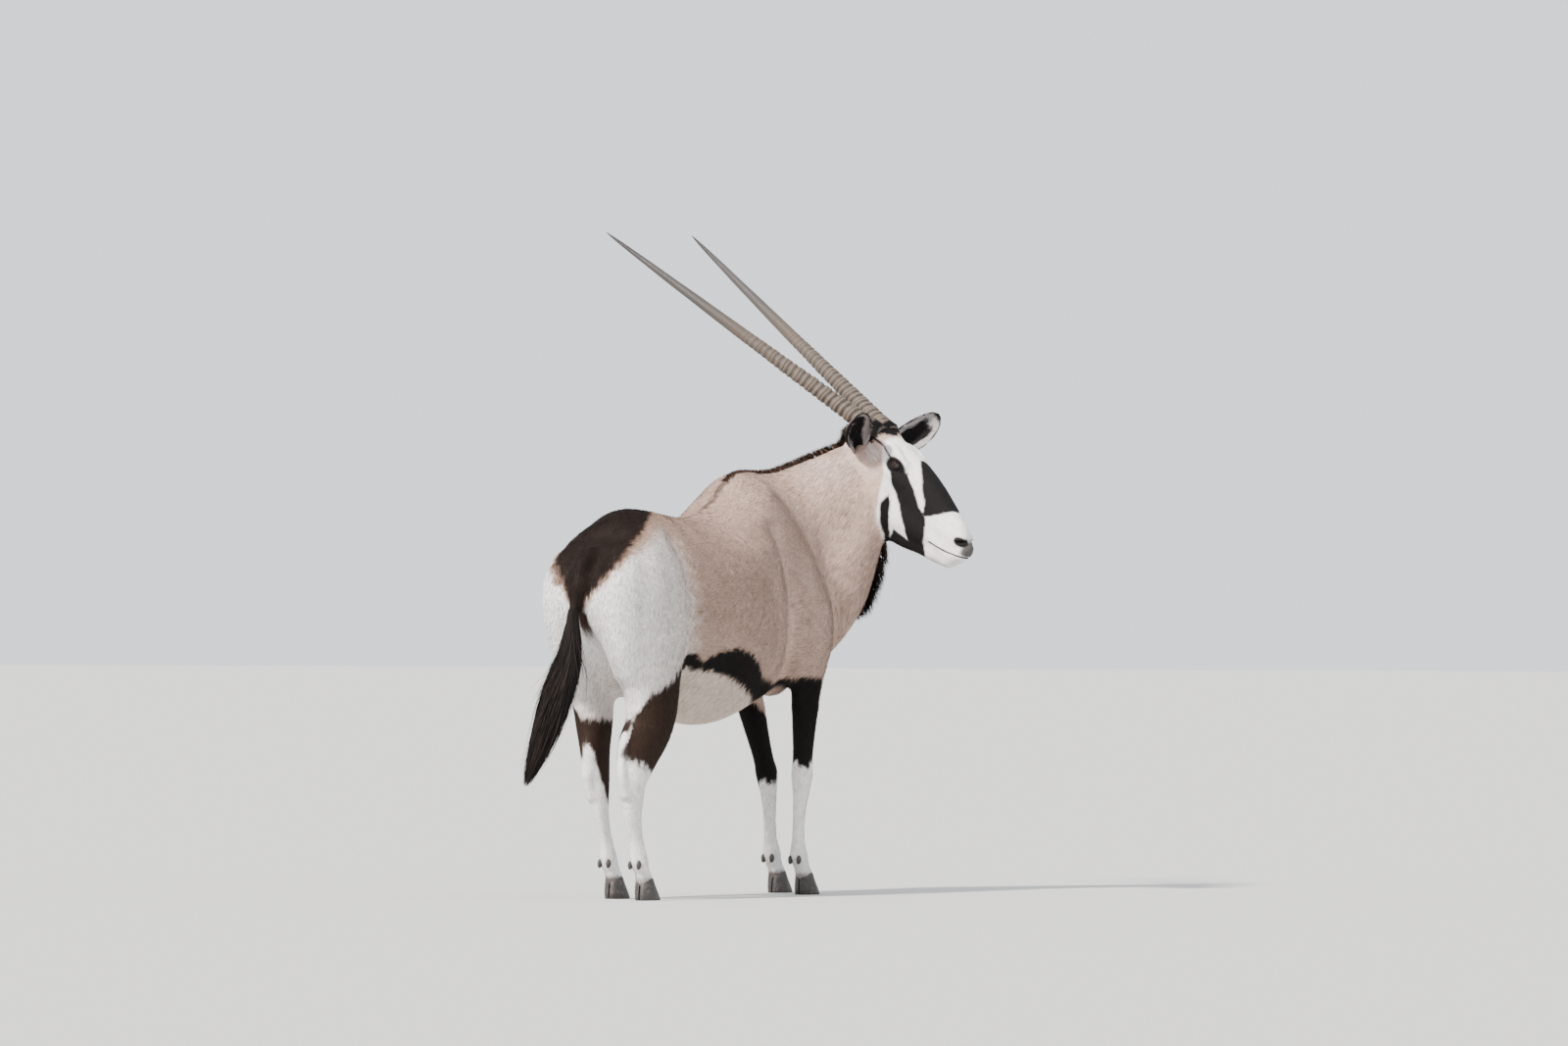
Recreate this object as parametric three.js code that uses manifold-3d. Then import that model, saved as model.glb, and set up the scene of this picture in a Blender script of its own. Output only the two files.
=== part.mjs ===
// A life-size standing gemsbok, looking back over its right side. Millimetres, +X forward, +Y to its left, +Z up.
// The flesh is one field, negative inside and zero on the skin, built from swept limbs that melt into each other.
// It is polygonised piece by piece and parted with thin cuts; horns, ears, eyes, claws and hair are fitted to it.
import * as THREE from "three";
import { mergeVertices } from "three/addons/utils/BufferGeometryUtils.js";
import Module from "manifold-3d";

const wasm = await Module();
wasm.setup();

// Driving dimensions
const GAP = 0.3; // between neighbouring pieces
const WELD = 0.03; // corners of a finished piece that lie closer than this become one
const AXIS_HEIGHT = 850; // of the straight line through the trunk
const HEAD_ORIGIN = [620, -176, 1334]; // between the ears
const HEAD_PITCH = (38 * Math.PI) / 180; // of the face below level; it points to the animal's right
const EYE = { along: 172, out: 57, up: 45, radius: 18, lid: 4, length: 33, height: 21, slant: 0.3 };
const MOUTH = { corner: 392, front: 530, up: -74, rise: 38, drop: -5, height: 3, breadth: 60 };
const NOSTRIL = { along: 472, out: 27, up: -12, size: [14, 10, 6], slant: 0.7 };
const HORN = {
  along: 35, out: 38, up: 68, length: 997, spread: 198, drop: 34, sunk: 26, sag: 2,
  radius: 27.5, point: 0.8, ringed: 0.45, rings: 16, relief: 1.5, sides: 7,
};
const CORONET_HEIGHT = 56;
const CLAW = { length: 96, width: 29, cleft: 2.5, forward: 14, splay: 0.1 };
const DEWCLAW = { back: 30, out: 14.5, below: 15, size: [11, 8, 15] };
const HANDS = ["left", "right"];
const CELLS = { // of the grids that the flesh is drawn on, along x, y and z
  torso: [66, 46, 48], neck: [44, 40, 40], head: [21, 17, 17],
  forearm: [27, 25, 37], thigh: [44, 34, 42], gaskin: [26, 22, 34], shank: [17, 16, 33],
  dock: [18, 16, 26], tuft: [30, 26, 62],
};
const NUDGE = [0.11, 0.17, 0.07]; // how far the cells move when the skin touches itself, as shares of a cell
// Locks of hair: how many, how long, wide and thick, how deep their roots are sunk, how far off the middle line they
// grow, how they lean or drop along it, where on their route they start, and the height of any core under them
const MANE = { locks: 24, wide: 38, thick: 10, sunk: 14, off: 5, lean: -0.35 };
const BEARD = {
  locks: 11, long: [56, 84], wide: 30, thick: 10, sunk: 16, off: 14, drop: 1.3, core: 0.5, from: 0.1, reach: 0.68,
};
const SWITCH = { locks: 17, span: 2.9, wide: 42, thick: 9, loose: 0.9 };
const HAIR_SEED = 7;

const V = (x, y, z) => new THREE.Vector3(x, y, z);
const turn = (axis, angle) => new THREE.Matrix4().makeRotationAxis(axis, angle);
const shift = (x, y, z) => new THREE.Matrix4().makeTranslation(x, y, z);

// Seeded random numbers from 0 to 1
function dice(seed) {
  let state = seed;
  return () => {
    state = (state * 1664525 + 1013904223) % 4294967296;
    return state / 4294967296;
  };
}

// All columns of a table at place t, in rows, on one smooth curve through the rows
function smoothRow(rows, t) {
  const i = Math.min(Math.floor(t), rows.length - 2);
  const f = t - i;
  const before = rows[Math.max(i - 1, 0)];
  const after = rows[Math.min(i + 2, rows.length - 1)];
  return rows[i].map((a, c) => {
    const b = rows[i + 1][c];
    const leave = (b - before[c]) / 2;
    const arrive = (after[c] - a) / 2;
    return a + f * (leave + f * (3 * (b - a) - 2 * leave - arrive + f * (2 * (a - b) + leave + arrive)));
  });
}

// Fields

// A limb swept along rows of x, y, z, half-width, top and bottom. sideAt gives what points across it at a place in
// the rows; top = along x side.
function limb(rows, sideAt = () => V(0, 1, 0), power = 2, steps = 4) {
  const last = (rows.length - 1) * steps;
  const rings = Array.from({ length: last + 1 }, (_, i) => {
    const [x, y, z, ...sizes] = smoothRow(rows, i / steps);
    return { at: V(x, y, z), sizes };
  });
  rings.forEach((ring, i) => {
    ring.along = rings[Math.min(i + 1, last)].at.clone().sub(rings[Math.max(i - 1, 0)].at).normalize();
    const side = sideAt(i / steps);
    ring.out = side.clone().addScaledVector(ring.along, -side.dot(ring.along)).normalize();
    ring.top = ring.along.clone().cross(ring.out);
  });
  const offset = V(0, 0, 0);
  const [along, out, top] = [V(0, 0, 0), V(0, 0, 0), V(0, 0, 0)];
  return (p) => {
    let nearest = Infinity;
    let place = 0;
    for (let i = 0; i < last; i++) {
      const a = rings[i].at;
      const b = rings[i + 1].at;
      const [dx, dy, dz] = [b.x - a.x, b.y - a.y, b.z - a.z];
      const reach = ((p.x - a.x) * dx + (p.y - a.y) * dy + (p.z - a.z) * dz) / (dx * dx + dy * dy + dz * dz);
      const f = Math.min(Math.max(reach, 0), 1);
      const far = (p.x - a.x - f * dx) ** 2 + (p.y - a.y - f * dy) ** 2 + (p.z - a.z - f * dz) ** 2;
      if (far < nearest) {
        nearest = far;
        place = i + f;
      }
    }
    const i = Math.min(Math.floor(place), last - 1);
    const f = place - i;
    const [from, to] = [rings[i], rings[i + 1]];
    along.lerpVectors(from.along, to.along, f);
    out.lerpVectors(from.out, to.out, f);
    top.lerpVectors(from.top, to.top, f);
    offset.lerpVectors(from.at, to.at, f).subVectors(p, offset);
    const [wide, high, low] = from.sizes.map((s, c) => s + f * (to.sizes[c] - s));
    const across = offset.dot(out);
    const above = offset.dot(top);
    const past = place <= 0 || place >= last ? offset.dot(along) : 0;
    const tall = above > 0 ? high : low;
    const end = Math.min(wide, high, low);
    const share = [across / wide, above / tall, past / end].map(Math.abs);
    const level = share.reduce((sum, s) => sum + s ** power, 0) ** (1 / power) + 1e-9;
    const slope = Math.hypot(...share.map((s, c) => (s / level) ** (power - 1) / [wide, tall, end][c]));
    return (level - 1) / Math.max(slope, 1e-6);
  };
}

// Two fields as one, melted together over a width
function melt(a, b, width) {
  const h = Math.max(width - Math.abs(a - b), 0) / width;
  return Math.min(a, b) - (h * h * width) / 4;
}

// A list of [field, width] melted one after another
const flesh = (...parts) => (p) => parts.reduce((sum, [field, width]) => melt(sum, field(p), width), 1e4);

const inHead = new THREE.Matrix4().makeBasis(
  V(0, -Math.cos(HEAD_PITCH), -Math.sin(HEAD_PITCH)),
  V(1, 0, 0),
  V(0, -Math.sin(HEAD_PITCH), Math.cos(HEAD_PITCH)),
).setPosition(...HEAD_ORIGIN);
const toHead = inHead.clone().invert();

const trunk = limb([
  [-626, 0, 905, 40, 60, 40],
  [-590, 0, 890, 96, 150, 78],
  [-524, 0, 868, 142, 232, 130],
  [-426, 0, 855, 178, 278, 205],
  [-310, 0, AXIS_HEIGHT, 190, 281, 268],
  [-190, 0, AXIS_HEIGHT, 205, 266, 315],
  [-60, 0, AXIS_HEIGHT, 216, 259, 348],
  [60, 0, AXIS_HEIGHT, 212, 298, 344],
  [183, 0, AXIS_HEIGHT, 190, 383, 312],
  [300, 0, AXIS_HEIGHT, 165, 385, 268],
  [420, 0, AXIS_HEIGHT, 140, 320, 205],
  [520, 0, AXIS_HEIGHT, 104, 215, 140],
  [575, 0, AXIS_HEIGHT, 66, 110, 70],
]);
// The neck bends to the right as it rises. This gives what points to its left at a place in its rows, from the
// angle it has turned at the first row and what each row adds.
const turning = (first, each) => (place) => V(Math.sin(first + each * place), Math.cos(first + each * place), 0);
const neckSweep = limb([
  [330, 0, 1000, 130, 226, 240],
  [415, -22, 1050, 120, 200, 250],
  [496, -75, 1105, 104, 172, 220],
  [556, -140, 1160, 88, 150, 185],
  [596, -200, 1210, 74, 128, 150],
  [616, -256, 1250, 58, 92, 120],
], turning(0.15, 0.24));

// Legs: rows of x, y, z, half-thickness across, reach to the front and to the back
const FORELEG = {
  right: [
    [205, -84, 1140, 38, 58, 80],
    [292, -122, 990, 52, 88, 115],
    [372, -146, 850, 60, 95, 130],
    [398, -146, 740, 57, 80, 112],
    [394, -136, 650, 49, 62, 80],
    [396, -128, 570, 41, 50, 57],
    [399, -120, 480, 34, 40, 43],
    [401, -114, 400, 30, 33, 34],
    [402, -111, 352, 33, 36, 33],
    [400, -109, 300, 26, 26, 28],
    [394, -107, 240, 19, 20, 25],
    [391, -106, 165, 19, 20, 26],
    [395, -105, 118, 26, 27, 33],
    [411, -105, 84, 24, 22, 25],
    [424, -105, 56, 28, 26, 28],
  ],
  left: [
    [222, 84, 1140, 38, 58, 80],
    [325, 122, 990, 52, 88, 115],
    [425, 144, 850, 60, 92, 130],
    [462, 142, 740, 57, 80, 112],
    [468, 132, 650, 49, 62, 80],
    [484, 121, 570, 41, 50, 57],
    [505, 110, 480, 34, 40, 43],
    [526, 101, 400, 30, 33, 34],
    [538, 97, 352, 33, 36, 33],
    [544, 94, 300, 26, 26, 28],
    [546, 91, 240, 19, 20, 25],
    [548, 89, 165, 19, 20, 26],
    [554, 88, 118, 26, 27, 33],
    [570, 88, 84, 24, 22, 25],
    [583, 88, 56, 28, 26, 28],
  ],
};
const HINDLEG = {
  right: [
    [-446, -84, 985, 62, 92, 112],
    [-472, -94, 900, 86, 158, 165],
    [-468, -98, 800, 84, 165, 162],
    [-450, -106, 710, 78, 150, 144],
    [-434, -114, 640, 68, 120, 114],
    [-434, -118, 570, 60, 98, 92],
    [-448, -117, 500, 53, 84, 80],
    [-490, -111, 428, 42, 74, 78],
    [-518, -105, 352, 37, 56, 48],
    [-512, -102, 296, 31, 42, 40],
    [-500, -100, 235, 22, 29, 33],
    [-480, -99, 172, 19, 23, 28],
    [-465, -98, 118, 26, 28, 33],
    [-449, -98, 84, 24, 23, 25],
    [-436, -98, 56, 28, 26, 28],
  ],
  left: [
    [-442, 84, 985, 62, 92, 112],
    [-468, 94, 900, 86, 158, 165],
    [-456, 98, 800, 84, 165, 162],
    [-424, 106, 710, 78, 150, 144],
    [-392, 114, 640, 68, 118, 114],
    [-374, 118, 570, 60, 96, 92],
    [-372, 116, 500, 53, 82, 80],
    [-376, 110, 424, 42, 72, 78],
    [-378, 103, 345, 37, 55, 48],
    [-374, 99, 290, 31, 42, 40],
    [-361, 96, 230, 22, 29, 33],
    [-344, 93, 170, 19, 23, 28],
    [-333, 91, 118, 26, 28, 33],
    [-318, 90, 84, 24, 23, 25],
    [-305, 90, 56, 28, 26, 28],
  ],
};
// The stifle turns outward, so the hind leg's sections turn with it below the thigh
const STIFLE_TURN = 0.3;
const stifleTurn = (hand) => (place) => {
  const share = THREE.MathUtils.smoothstep(place, 2, 6) * (1 - THREE.MathUtils.smoothstep(place, 10, 13));
  return V((hand === "right" ? 1 : -1) * Math.sin(STIFLE_TURN * share), Math.cos(STIFLE_TURN * share), 0);
};

// The point of the hock with its tendon, set behind the hind leg's hock row
function heelOf(leg) {
  const [x, y, z] = leg[8];
  return limb([
    [x - 26, y, z + 122, 10, 18, 16],
    [x - 50, y, z + 58, 13, 18, 15],
    [x - 55, y, z + 8, 17, 20, 13],
    [x - 34, y, z - 44, 15, 18, 14],
  ]);
}

const legs = {};
for (const hand of HANDS) {
  const hind = HINDLEG[hand];
  legs[hand] = { fore: limb(FORELEG[hand]), hind: flesh([limb(hind, stifleTurn(hand)), 1], [heelOf(hind), 18]) };
}

// The head in its own frame: x along the face, y to its left, z up
const upperHead = limb([
  [-8, 0, 0, 44, 44, 62],
  [40, 0, 8, 62, 68, 84],
  [100, 0, 14, 68, 74, 92],
  [165, 0, 12, 68, 76, 92],
  [230, 0, 4, 60, 80, 80],
  [300, 0, -6, 52, 76, 68],
  [360, 0, -16, 46, 68, 58],
  [415, 0, -26, 43, 61, 50],
  [455, 0, -36, 38, 50, 42],
  [476, 0, -40, 32, 38, 34],
], undefined, 2.3);
const jaw = limb([
  [70, 0, -78, 40, 40, 50],
  [130, 0, -96, 45, 40, 58],
  [210, 0, -110, 40, 36, 62],
  [290, 0, -108, 33, 34, 54],
  [360, 0, -98, 28, 30, 42],
  [415, 0, -92, 29, 26, 34],
  [458, 0, -86, 28, 22, 26],
], undefined, 2.2);
const bothSides = (rows) => {
  const one = limb(rows);
  return (p) => one(V(p.x, Math.abs(p.y), p.z));
};
const brow = bothSides([
  [128, 46, 66, 16, 16, 20],
  [160, 58, 68, 15, 14, 18],
  [196, 54, 58, 12, 12, 16],
]);
const underEye = bothSides([
  [130, 56, 20, 16, 18, 20],
  [175, 60, 14, 13, 13, 20],
  [220, 48, 8, 12, 12, 20],
]);
const cheek = bothSides([
  [95, 40, -30, 26, 40, 46],
  [150, 44, -62, 24, 44, 50],
  [215, 36, -80, 20, 34, 40],
  [290, 28, -72, 19, 28, 32],
  [350, 24, -68, 17, 22, 24],
]);
const hornSeat = bothSides([
  [HORN.along, HORN.out, 65, 35, 35, 34],
  [HORN.along + 40, HORN.out - 6, 54, 32, 30, 30],
]);
const nostrilFlare = bothSides([
  [428, 22, -12, 16, 20, 16],
  [462, 22, -14, 16, 18, 16],
]);
const upperLip = bothSides([
  [350, 26, -62, 12, 16, 12],
  [420, 26, -66, 13, 16, 12],
  [466, 14, -66, 14, 16, 12],
]);
const headFlesh = flesh(
  [upperHead, 1], [jaw, 44], [cheek, 36], [brow, 16], [underEye, 16],
  [hornSeat, 20], [nostrilFlare, 16], [upperLip, 14],
);
const head = (p) => headFlesh(p.clone().applyMatrix4(toHead));

const throat = limb([
  [400, 0, 640, 70, 90, 60],
  [448, -24, 720, 84, 110, 88],
  [498, -74, 800, 90, 120, 112],
  [532, -122, 900, 84, 120, 118],
  [562, -164, 980, 76, 110, 94],
  [590, -196, 1057, 70, 95, 64],
  [606, -216, 1130, 64, 80, 46],
], turning(0.1, 0.23));
const brisket = limb([
  [240, 0, 640, 70, 60, 62],
  [380, 0, 690, 74, 70, 64],
  [500, -6, 765, 66, 70, 60],
  [560, -24, 850, 56, 70, 46],
]);
const body = flesh(
  [trunk, 1], [neckSweep, 70], [throat, 60], [brisket, 50],
  [legs.left.fore, 34], [legs.right.fore, 34], [legs.left.hind, 50], [legs.right.hind, 50],
  [head, 30],
);

// Solids

// A closed geometry as a solid, placed by a matrix
function solid(geometry, matrix = new THREE.Matrix4()) {
  const bare = new THREE.BufferGeometry()
    .setAttribute("position", geometry.getAttribute("position").clone())
    .setIndex(geometry.index)
    .applyMatrix4(matrix);
  const merged = mergeVertices(bare, 1e-3);
  const corners = merged.index.array;
  const triVerts = [];
  for (let i = 0; i < corners.length; i += 3) {
    const [a, b, c] = corners.slice(i, i + 3);
    if (a !== b && b !== c && c !== a) triVerts.push(a, b, c);
  }
  return new wasm.Manifold(new wasm.Mesh({
    numProp: 3,
    vertProperties: merged.attributes.position.array,
    triVerts: new Uint32Array(triVerts),
  }));
}

// The largest closed surface of a solid, with any scrap or sealed hollow dropped
const largest = (made) => made.decompose().reduce((a, b) => (Math.abs(b.volume()) > Math.abs(a.volume()) ? b : a));

// True where two faces run the same way along one edge, as they do where the skin touches itself
function touches(faces) {
  const seen = new Set();
  for (let i = 0; i < faces.length; i++) {
    const edge = `${faces[i]} ${faces[i % 3 === 2 ? i - 2 : i + 1]}`;
    if (seen.has(edge)) return true;
    seen.add(edge);
  }
  return false;
}

// The field's skin inside a box of cells: one point in each cell that it crosses, drawn onto the skin, and one
// quad round each cell edge that it crosses. Where the skin touches itself, the cells are moved a little.
function skin(field, low, high, cell, frame = new THREE.Matrix4()) {
  const cells = low.map((from, c) => Math.ceil((high[c] - from) / cell[c]));
  const [nx, ny, nz] = cells.map((n) => n + 1);
  const corner = (i, j, k) => (k * ny + j) * nx + i;
  const values = new Float64Array(nx * ny * nz);
  const place = (i, j, k) => V(low[0] + i * cell[0], low[1] + j * cell[1], low[2] + k * cell[2]).applyMatrix4(frame);
  for (let k = 0; k < nz; k++) {
    for (let j = 0; j < ny; j++) {
      for (let i = 0; i < nx; i++) {
        const rim = i === 0 || j === 0 || k === 0 || i === nx - 1 || j === ny - 1 || k === nz - 1;
        values[corner(i, j, k)] = rim ? 1 : field(place(i, j, k));
      }
    }
  }
  const pointOf = new Map();
  const points = [];
  const steps = [[1, 0, 0], [0, 1, 0], [0, 0, 1]];
  const size = Math.min(...cell);
  for (let k = 0; k < nz - 1; k++) {
    for (let j = 0; j < ny - 1; j++) {
      for (let i = 0; i < nx - 1; i++) {
        const sum = V(0, 0, 0);
        let crossings = 0;
        for (const [axis, step] of steps.entries()) {
          const [u, v] = [(axis + 1) % 3, (axis + 2) % 3];
          for (const [du, dv] of [[0, 0], [1, 0], [0, 1], [1, 1]]) {
            const from = [i, j, k];
            from[u] += du;
            from[v] += dv;
            const to = from.map((n, c) => n + step[c]);
            const [a, b] = [values[corner(...from)], values[corner(...to)]];
            if (a < 0 !== b < 0) {
              sum.add(place(...from).lerp(place(...to), a / (a - b)));
              crossings++;
            }
          }
        }
        if (!crossings) continue;
        const point = sum.divideScalar(crossings);
        const inner = i > 0 && j > 0 && k > 0 && i < nx - 2 && j < ny - 2 && k < nz - 2;
        if (inner) drawOnto(field, point, size * 0.45);
        pointOf.set(corner(i, j, k), points.length / 3);
        points.push(point.x, point.y, point.z);
      }
    }
  }
  const apart = (m, n) => [0, 1, 2].reduce((sum, c) => sum + (points[3 * m + c] - points[3 * n + c]) ** 2, 0);
  const faces = [];
  for (let k = 0; k < nz - 1; k++) {
    for (let j = 0; j < ny - 1; j++) {
      for (let i = 0; i < nx - 1; i++) {
        for (const [axis, step] of steps.entries()) {
          const [u, v] = [steps[(axis + 1) % 3], steps[(axis + 2) % 3]];
          if (i < u[0] + v[0] || j < u[1] + v[1] || k < u[2] + v[2]) continue;
          const [a, b] = [values[corner(i, j, k)], values[corner(i + step[0], j + step[1], k + step[2])]];
          if (a < 0 === b < 0) continue;
          const ring = [[0, 0], [1, 0], [1, 1], [0, 1]].map(([du, dv]) =>
            pointOf.get(corner(i - du * u[0] - dv * v[0], j - du * u[1] - dv * v[1], k - du * u[2] - dv * v[2])));
          if (b < 0) ring.reverse();
          const [p, q, r, s] = ring;
          faces.push(...(apart(p, r) < apart(q, s) ? [p, q, r, p, r, s] : [p, q, s, q, r, s]));
        }
      }
    }
  }
  if (touches(faces)) return skin(field, low.map((from, c) => from - cell[c] * NUDGE[c]), high, cell, frame);
  const geometry = new THREE.BufferGeometry()
    .setAttribute("position", new THREE.Float32BufferAttribute(points, 3))
    .setIndex(faces);
  const made = solid(geometry);
  return made.volume() < 0 ? solid(geometry.setIndex(faces.reverse())) : made;
}

// Moves a point down the field's slope to the skin, by at most a distance
function drawOnto(field, point, most) {
  const start = point.clone();
  for (let round = 0; round < 3; round++) {
    const here = field(point);
    const slope = V(
      field(V(point.x + 1, point.y, point.z)) - here,
      field(V(point.x, point.y + 1, point.z)) - here,
      field(V(point.x, point.y, point.z + 1)) - here,
    );
    point.addScaledVector(slope, -here / Math.max(slope.lengthSq(), 0.05));
    const moved = point.clone().sub(start).clampLength(0, most);
    point.copy(start).add(moved);
  }
}

// What lies in front of a plane, as a solid far larger than the animal. Its face stands clear by half the gap.
const FAR = 4000;
function beyond([point, normal]) {
  const facing = normal.clone().normalize();
  const turned = new THREE.Matrix4().makeRotationFromQuaternion(
    new THREE.Quaternion().setFromUnitVectors(V(0, 0, 1), facing),
  );
  const middle = point.clone().addScaledVector(facing, FAR / 2 - GAP / 2);
  return solid(new THREE.BoxGeometry(FAR, FAR, FAR), shift(middle.x, middle.y, middle.z).multiply(turned));
}
const behindPlane = (made, plane) => largest(made.subtract(beyond(plane)));
const beforePlane = (made, [point, normal]) => behindPlane(made, [point, normal.clone().negate()]);

// Where the body is parted: a point and the direction towards the further piece
const NECK_CUT = [V(348, -10, 1010), V(0.86, -0.14, 0.51)];
const HEAD_CUT = [V(620, -214, 1230), V(0.05, -0.95, 0.3)];
const KNEE_ROW = 7;
const STIFLE_ROW = 5;
const HOCK_ROW = 7;
const FETLOCK_ROW = 12;
const LAST_ROW = 14;
const rowCut = (row, lean) => [V(row[0], row[1], row[2]), V(lean, 0, -1)];
const coronetOf = (rows) => [V(rows[LAST_ROW][0], rows[LAST_ROW][1], CORONET_HEIGHT), V(0.35, 0, -1)];

// The block of the body that goes with a leg, from near the midline past its outer side, leaning in side view
const FORE_BLOCK = { back: 118, front: 120, inner: 60, lean: -0.3 };
const HIND_BLOCK = { back: 330, front: 264, inner: 42, lean: 0.42 };
const BLOCK_DEPTH = 600;
const BLOCK_REACH = 400;
function block(hand, [x, , z], { back, front, inner, lean }, grown) {
  const size = [back + front, BLOCK_REACH - inner, BLOCK_DEPTH].map((length) => length + 2 * grown);
  const out = ((hand === "left" ? 1 : -1) * (inner + BLOCK_REACH)) / 2;
  const placed = shift(x + (front - back) / 2, out, z)
    .multiply(turn(V(0, 1, 0), lean))
    .multiply(shift(0, 0, -BLOCK_DEPTH / 2));
  return solid(new THREE.BoxGeometry(...size), placed);
}
const foreBlock = (hand, grown) => block(hand, FORELEG[hand][4], FORE_BLOCK, grown);
const hindBlock = (hand, grown) => block(hand, [HINDLEG[hand][3][0], 0, 830], HIND_BLOCK, grown);

function boxAround(rows, from, to, margin) {
  const some = rows.slice(from, to + 1);
  const low = [0, 1, 2].map((c) => Math.min(...some.map((row) => row[c])) - margin[c]);
  const high = [0, 1, 2].map((c) => Math.max(...some.map((row) => row[c])) + margin[c]);
  return [low, high];
}

const pieces = {};

function makeTorso() {
  const whole = skin(body, [-740, -270, 440], [640, 270, 1310], CELLS.torso);
  const blocks = HANDS.flatMap((hand) => [foreBlock(hand, GAP / 2), hindBlock(hand, GAP / 2)]);
  const rest = blocks.reduce((made, cut) => made.subtract(cut), behindPlane(whole, NECK_CUT));
  pieces.torso = largest(rest);
}

function makeNeck(random) {
  const bare = skin(body, [150, -330, 700], [740, 190, 1440], CELLS.neck);
  const whole = [...makeMane(random), ...makeBeard(random)].reduce((made, hair) => made.add(hair), bare);
  pieces.neck = behindPlane(beforePlane(whole, NECK_CUT), HEAD_CUT);
}

function makeLegs(hand) {
  const [fore, hind] = [FORELEG[hand], HINDLEG[hand]];
  const knee = rowCut(fore[KNEE_ROW], 0);
  const stifle = rowCut(hind[STIFLE_ROW], -0.25);
  const hock = rowCut(hind[HOCK_ROW], -0.3);
  const shoulder = skin(body, ...boxAround(fore, 2, KNEE_ROW, [170, 130, 40]), CELLS.forearm);
  pieces[`forearm_${hand}`] = behindPlane(largest(shoulder.intersect(foreBlock(hand, -GAP / 2))), knee);
  const haunch = skin(body, ...boxAround(hind, 0, STIFLE_ROW, [260, 140, 60]), CELLS.thigh);
  pieces[`thigh_${hand}`] = behindPlane(largest(haunch.intersect(hindBlock(hand, -GAP / 2))), stifle);
  const gaskin = skin(legs[hand].hind, ...boxAround(hind, STIFLE_ROW, HOCK_ROW, [150, 90, 60]), CELLS.gaskin);
  pieces[`gaskin_${hand}`] = behindPlane(beforePlane(gaskin, stifle), hock);
  pieces[`fore_cannon_${hand}`] = makeShank(legs[hand].fore, fore, KNEE_ROW, knee);
  pieces[`hind_cannon_${hand}`] = makeShank(legs[hand].hind, hind, HOCK_ROW, hock);
}

// The lower leg, with two dewclaws behind the fetlock
function makeShank(field, rows, from, top) {
  const whole = skin(field, ...boxAround(rows, from, LAST_ROW, [85, 50, 46]), CELLS.shank);
  const [x, y, z] = rows[FETLOCK_ROW];
  const buds = [-1, 1].map((side) => {
    const place = shift(x - DEWCLAW.back, y + side * DEWCLAW.out, z - DEWCLAW.below);
    return solid(new THREE.OctahedronGeometry(1, 1), place.scale(V(...DEWCLAW.size)));
  });
  return behindPlane(beforePlane(buds.reduce((made, bud) => made.add(bud), whole), top), coronetOf(rows));
}

// A closed tube through rings with the same even number of points, its ends closed by strips from side to side
function tube(rings) {
  const count = rings[0].length;
  const faces = [];
  for (let r = 0; r < rings.length - 1; r++) {
    for (let i = 0; i < count; i++) {
      const [a, b] = [r * count + i, r * count + ((i + 1) % count)];
      faces.push(a, b, b + count, a, b + count, a + count);
    }
  }
  const lid = (rings.length - 1) * count;
  for (let i = 0; i < count / 2 - 1; i++) {
    const [a, b, c, d] = [i, i + 1, count - 2 - i, count - 1 - i];
    faces.push(c, b, a, d, c, a);
    faces.push(lid + a, lid + b, lid + c, lid + a, lid + c, lid + d);
  }
  return outward(rings.flat(), faces);
}

// A solid from points and faces that all turn one way, turned round where they point in
function outward(points, faces) {
  const geometry = new THREE.BufferGeometry()
    .setAttribute("position", new THREE.Float32BufferAttribute(points.flatMap((p) => p.toArray()), 3))
    .setIndex(faces);
  const made = solid(geometry);
  return made.volume() < 0 ? solid(geometry.setIndex(faces.reverse())) : made;
}

// Claw rings from the sole up: height, heel and toe as shares of the length, and breadth as a share of the width
const CLAW_RINGS = [
  [0, -0.46, 0.55, 1],
  [18, -0.47, 0.44, 0.99],
  [42, -0.42, 0.25, 0.93],
  [84, -0.34, -0.02, 0.8],
];
const CLAW_POINTS = 10;
function clawRing(x, y, side, [z, heel, toe, wide]) {
  return Array.from({ length: CLAW_POINTS }, (_, i) => {
    const angle = (2 * Math.PI * (i + 0.5)) / CLAW_POINTS;
    const [forward, across] = [Math.cos(angle), Math.sin(angle)];
    const reach = CLAW.length * (heel + ((toe - heel) * (1 + forward)) / 2);
    const narrowing = forward > 0 ? 1 - 0.45 * forward * forward : 1;
    const breadth = across > 0 ? CLAW.width * wide * across * narrowing : 0;
    return V(x + reach, y + side * (CLAW.cleft + breadth + Math.max(reach, 0) * CLAW.splay), z);
  });
}

function makeClaws(hand) {
  for (const [kind, rows] of [["fore", FORELEG[hand]], ["hind", HINDLEG[hand]]]) {
    const [x, y] = rows[LAST_ROW];
    for (const [place, side] of [["outer", 1], ["inner", -1]]) {
      const out = hand === "left" ? side : -side;
      const rings = CLAW_RINGS.map((ring) => clawRing(x + CLAW.forward, y, out, ring));
      pieces[`${kind}_claw_${hand}_${place}`] = beforePlane(tube(rings), coronetOf(rows));
    }
  }
}

const headSpot = (along, out, up) => V(along, out, up).applyMatrix4(inHead);

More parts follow.
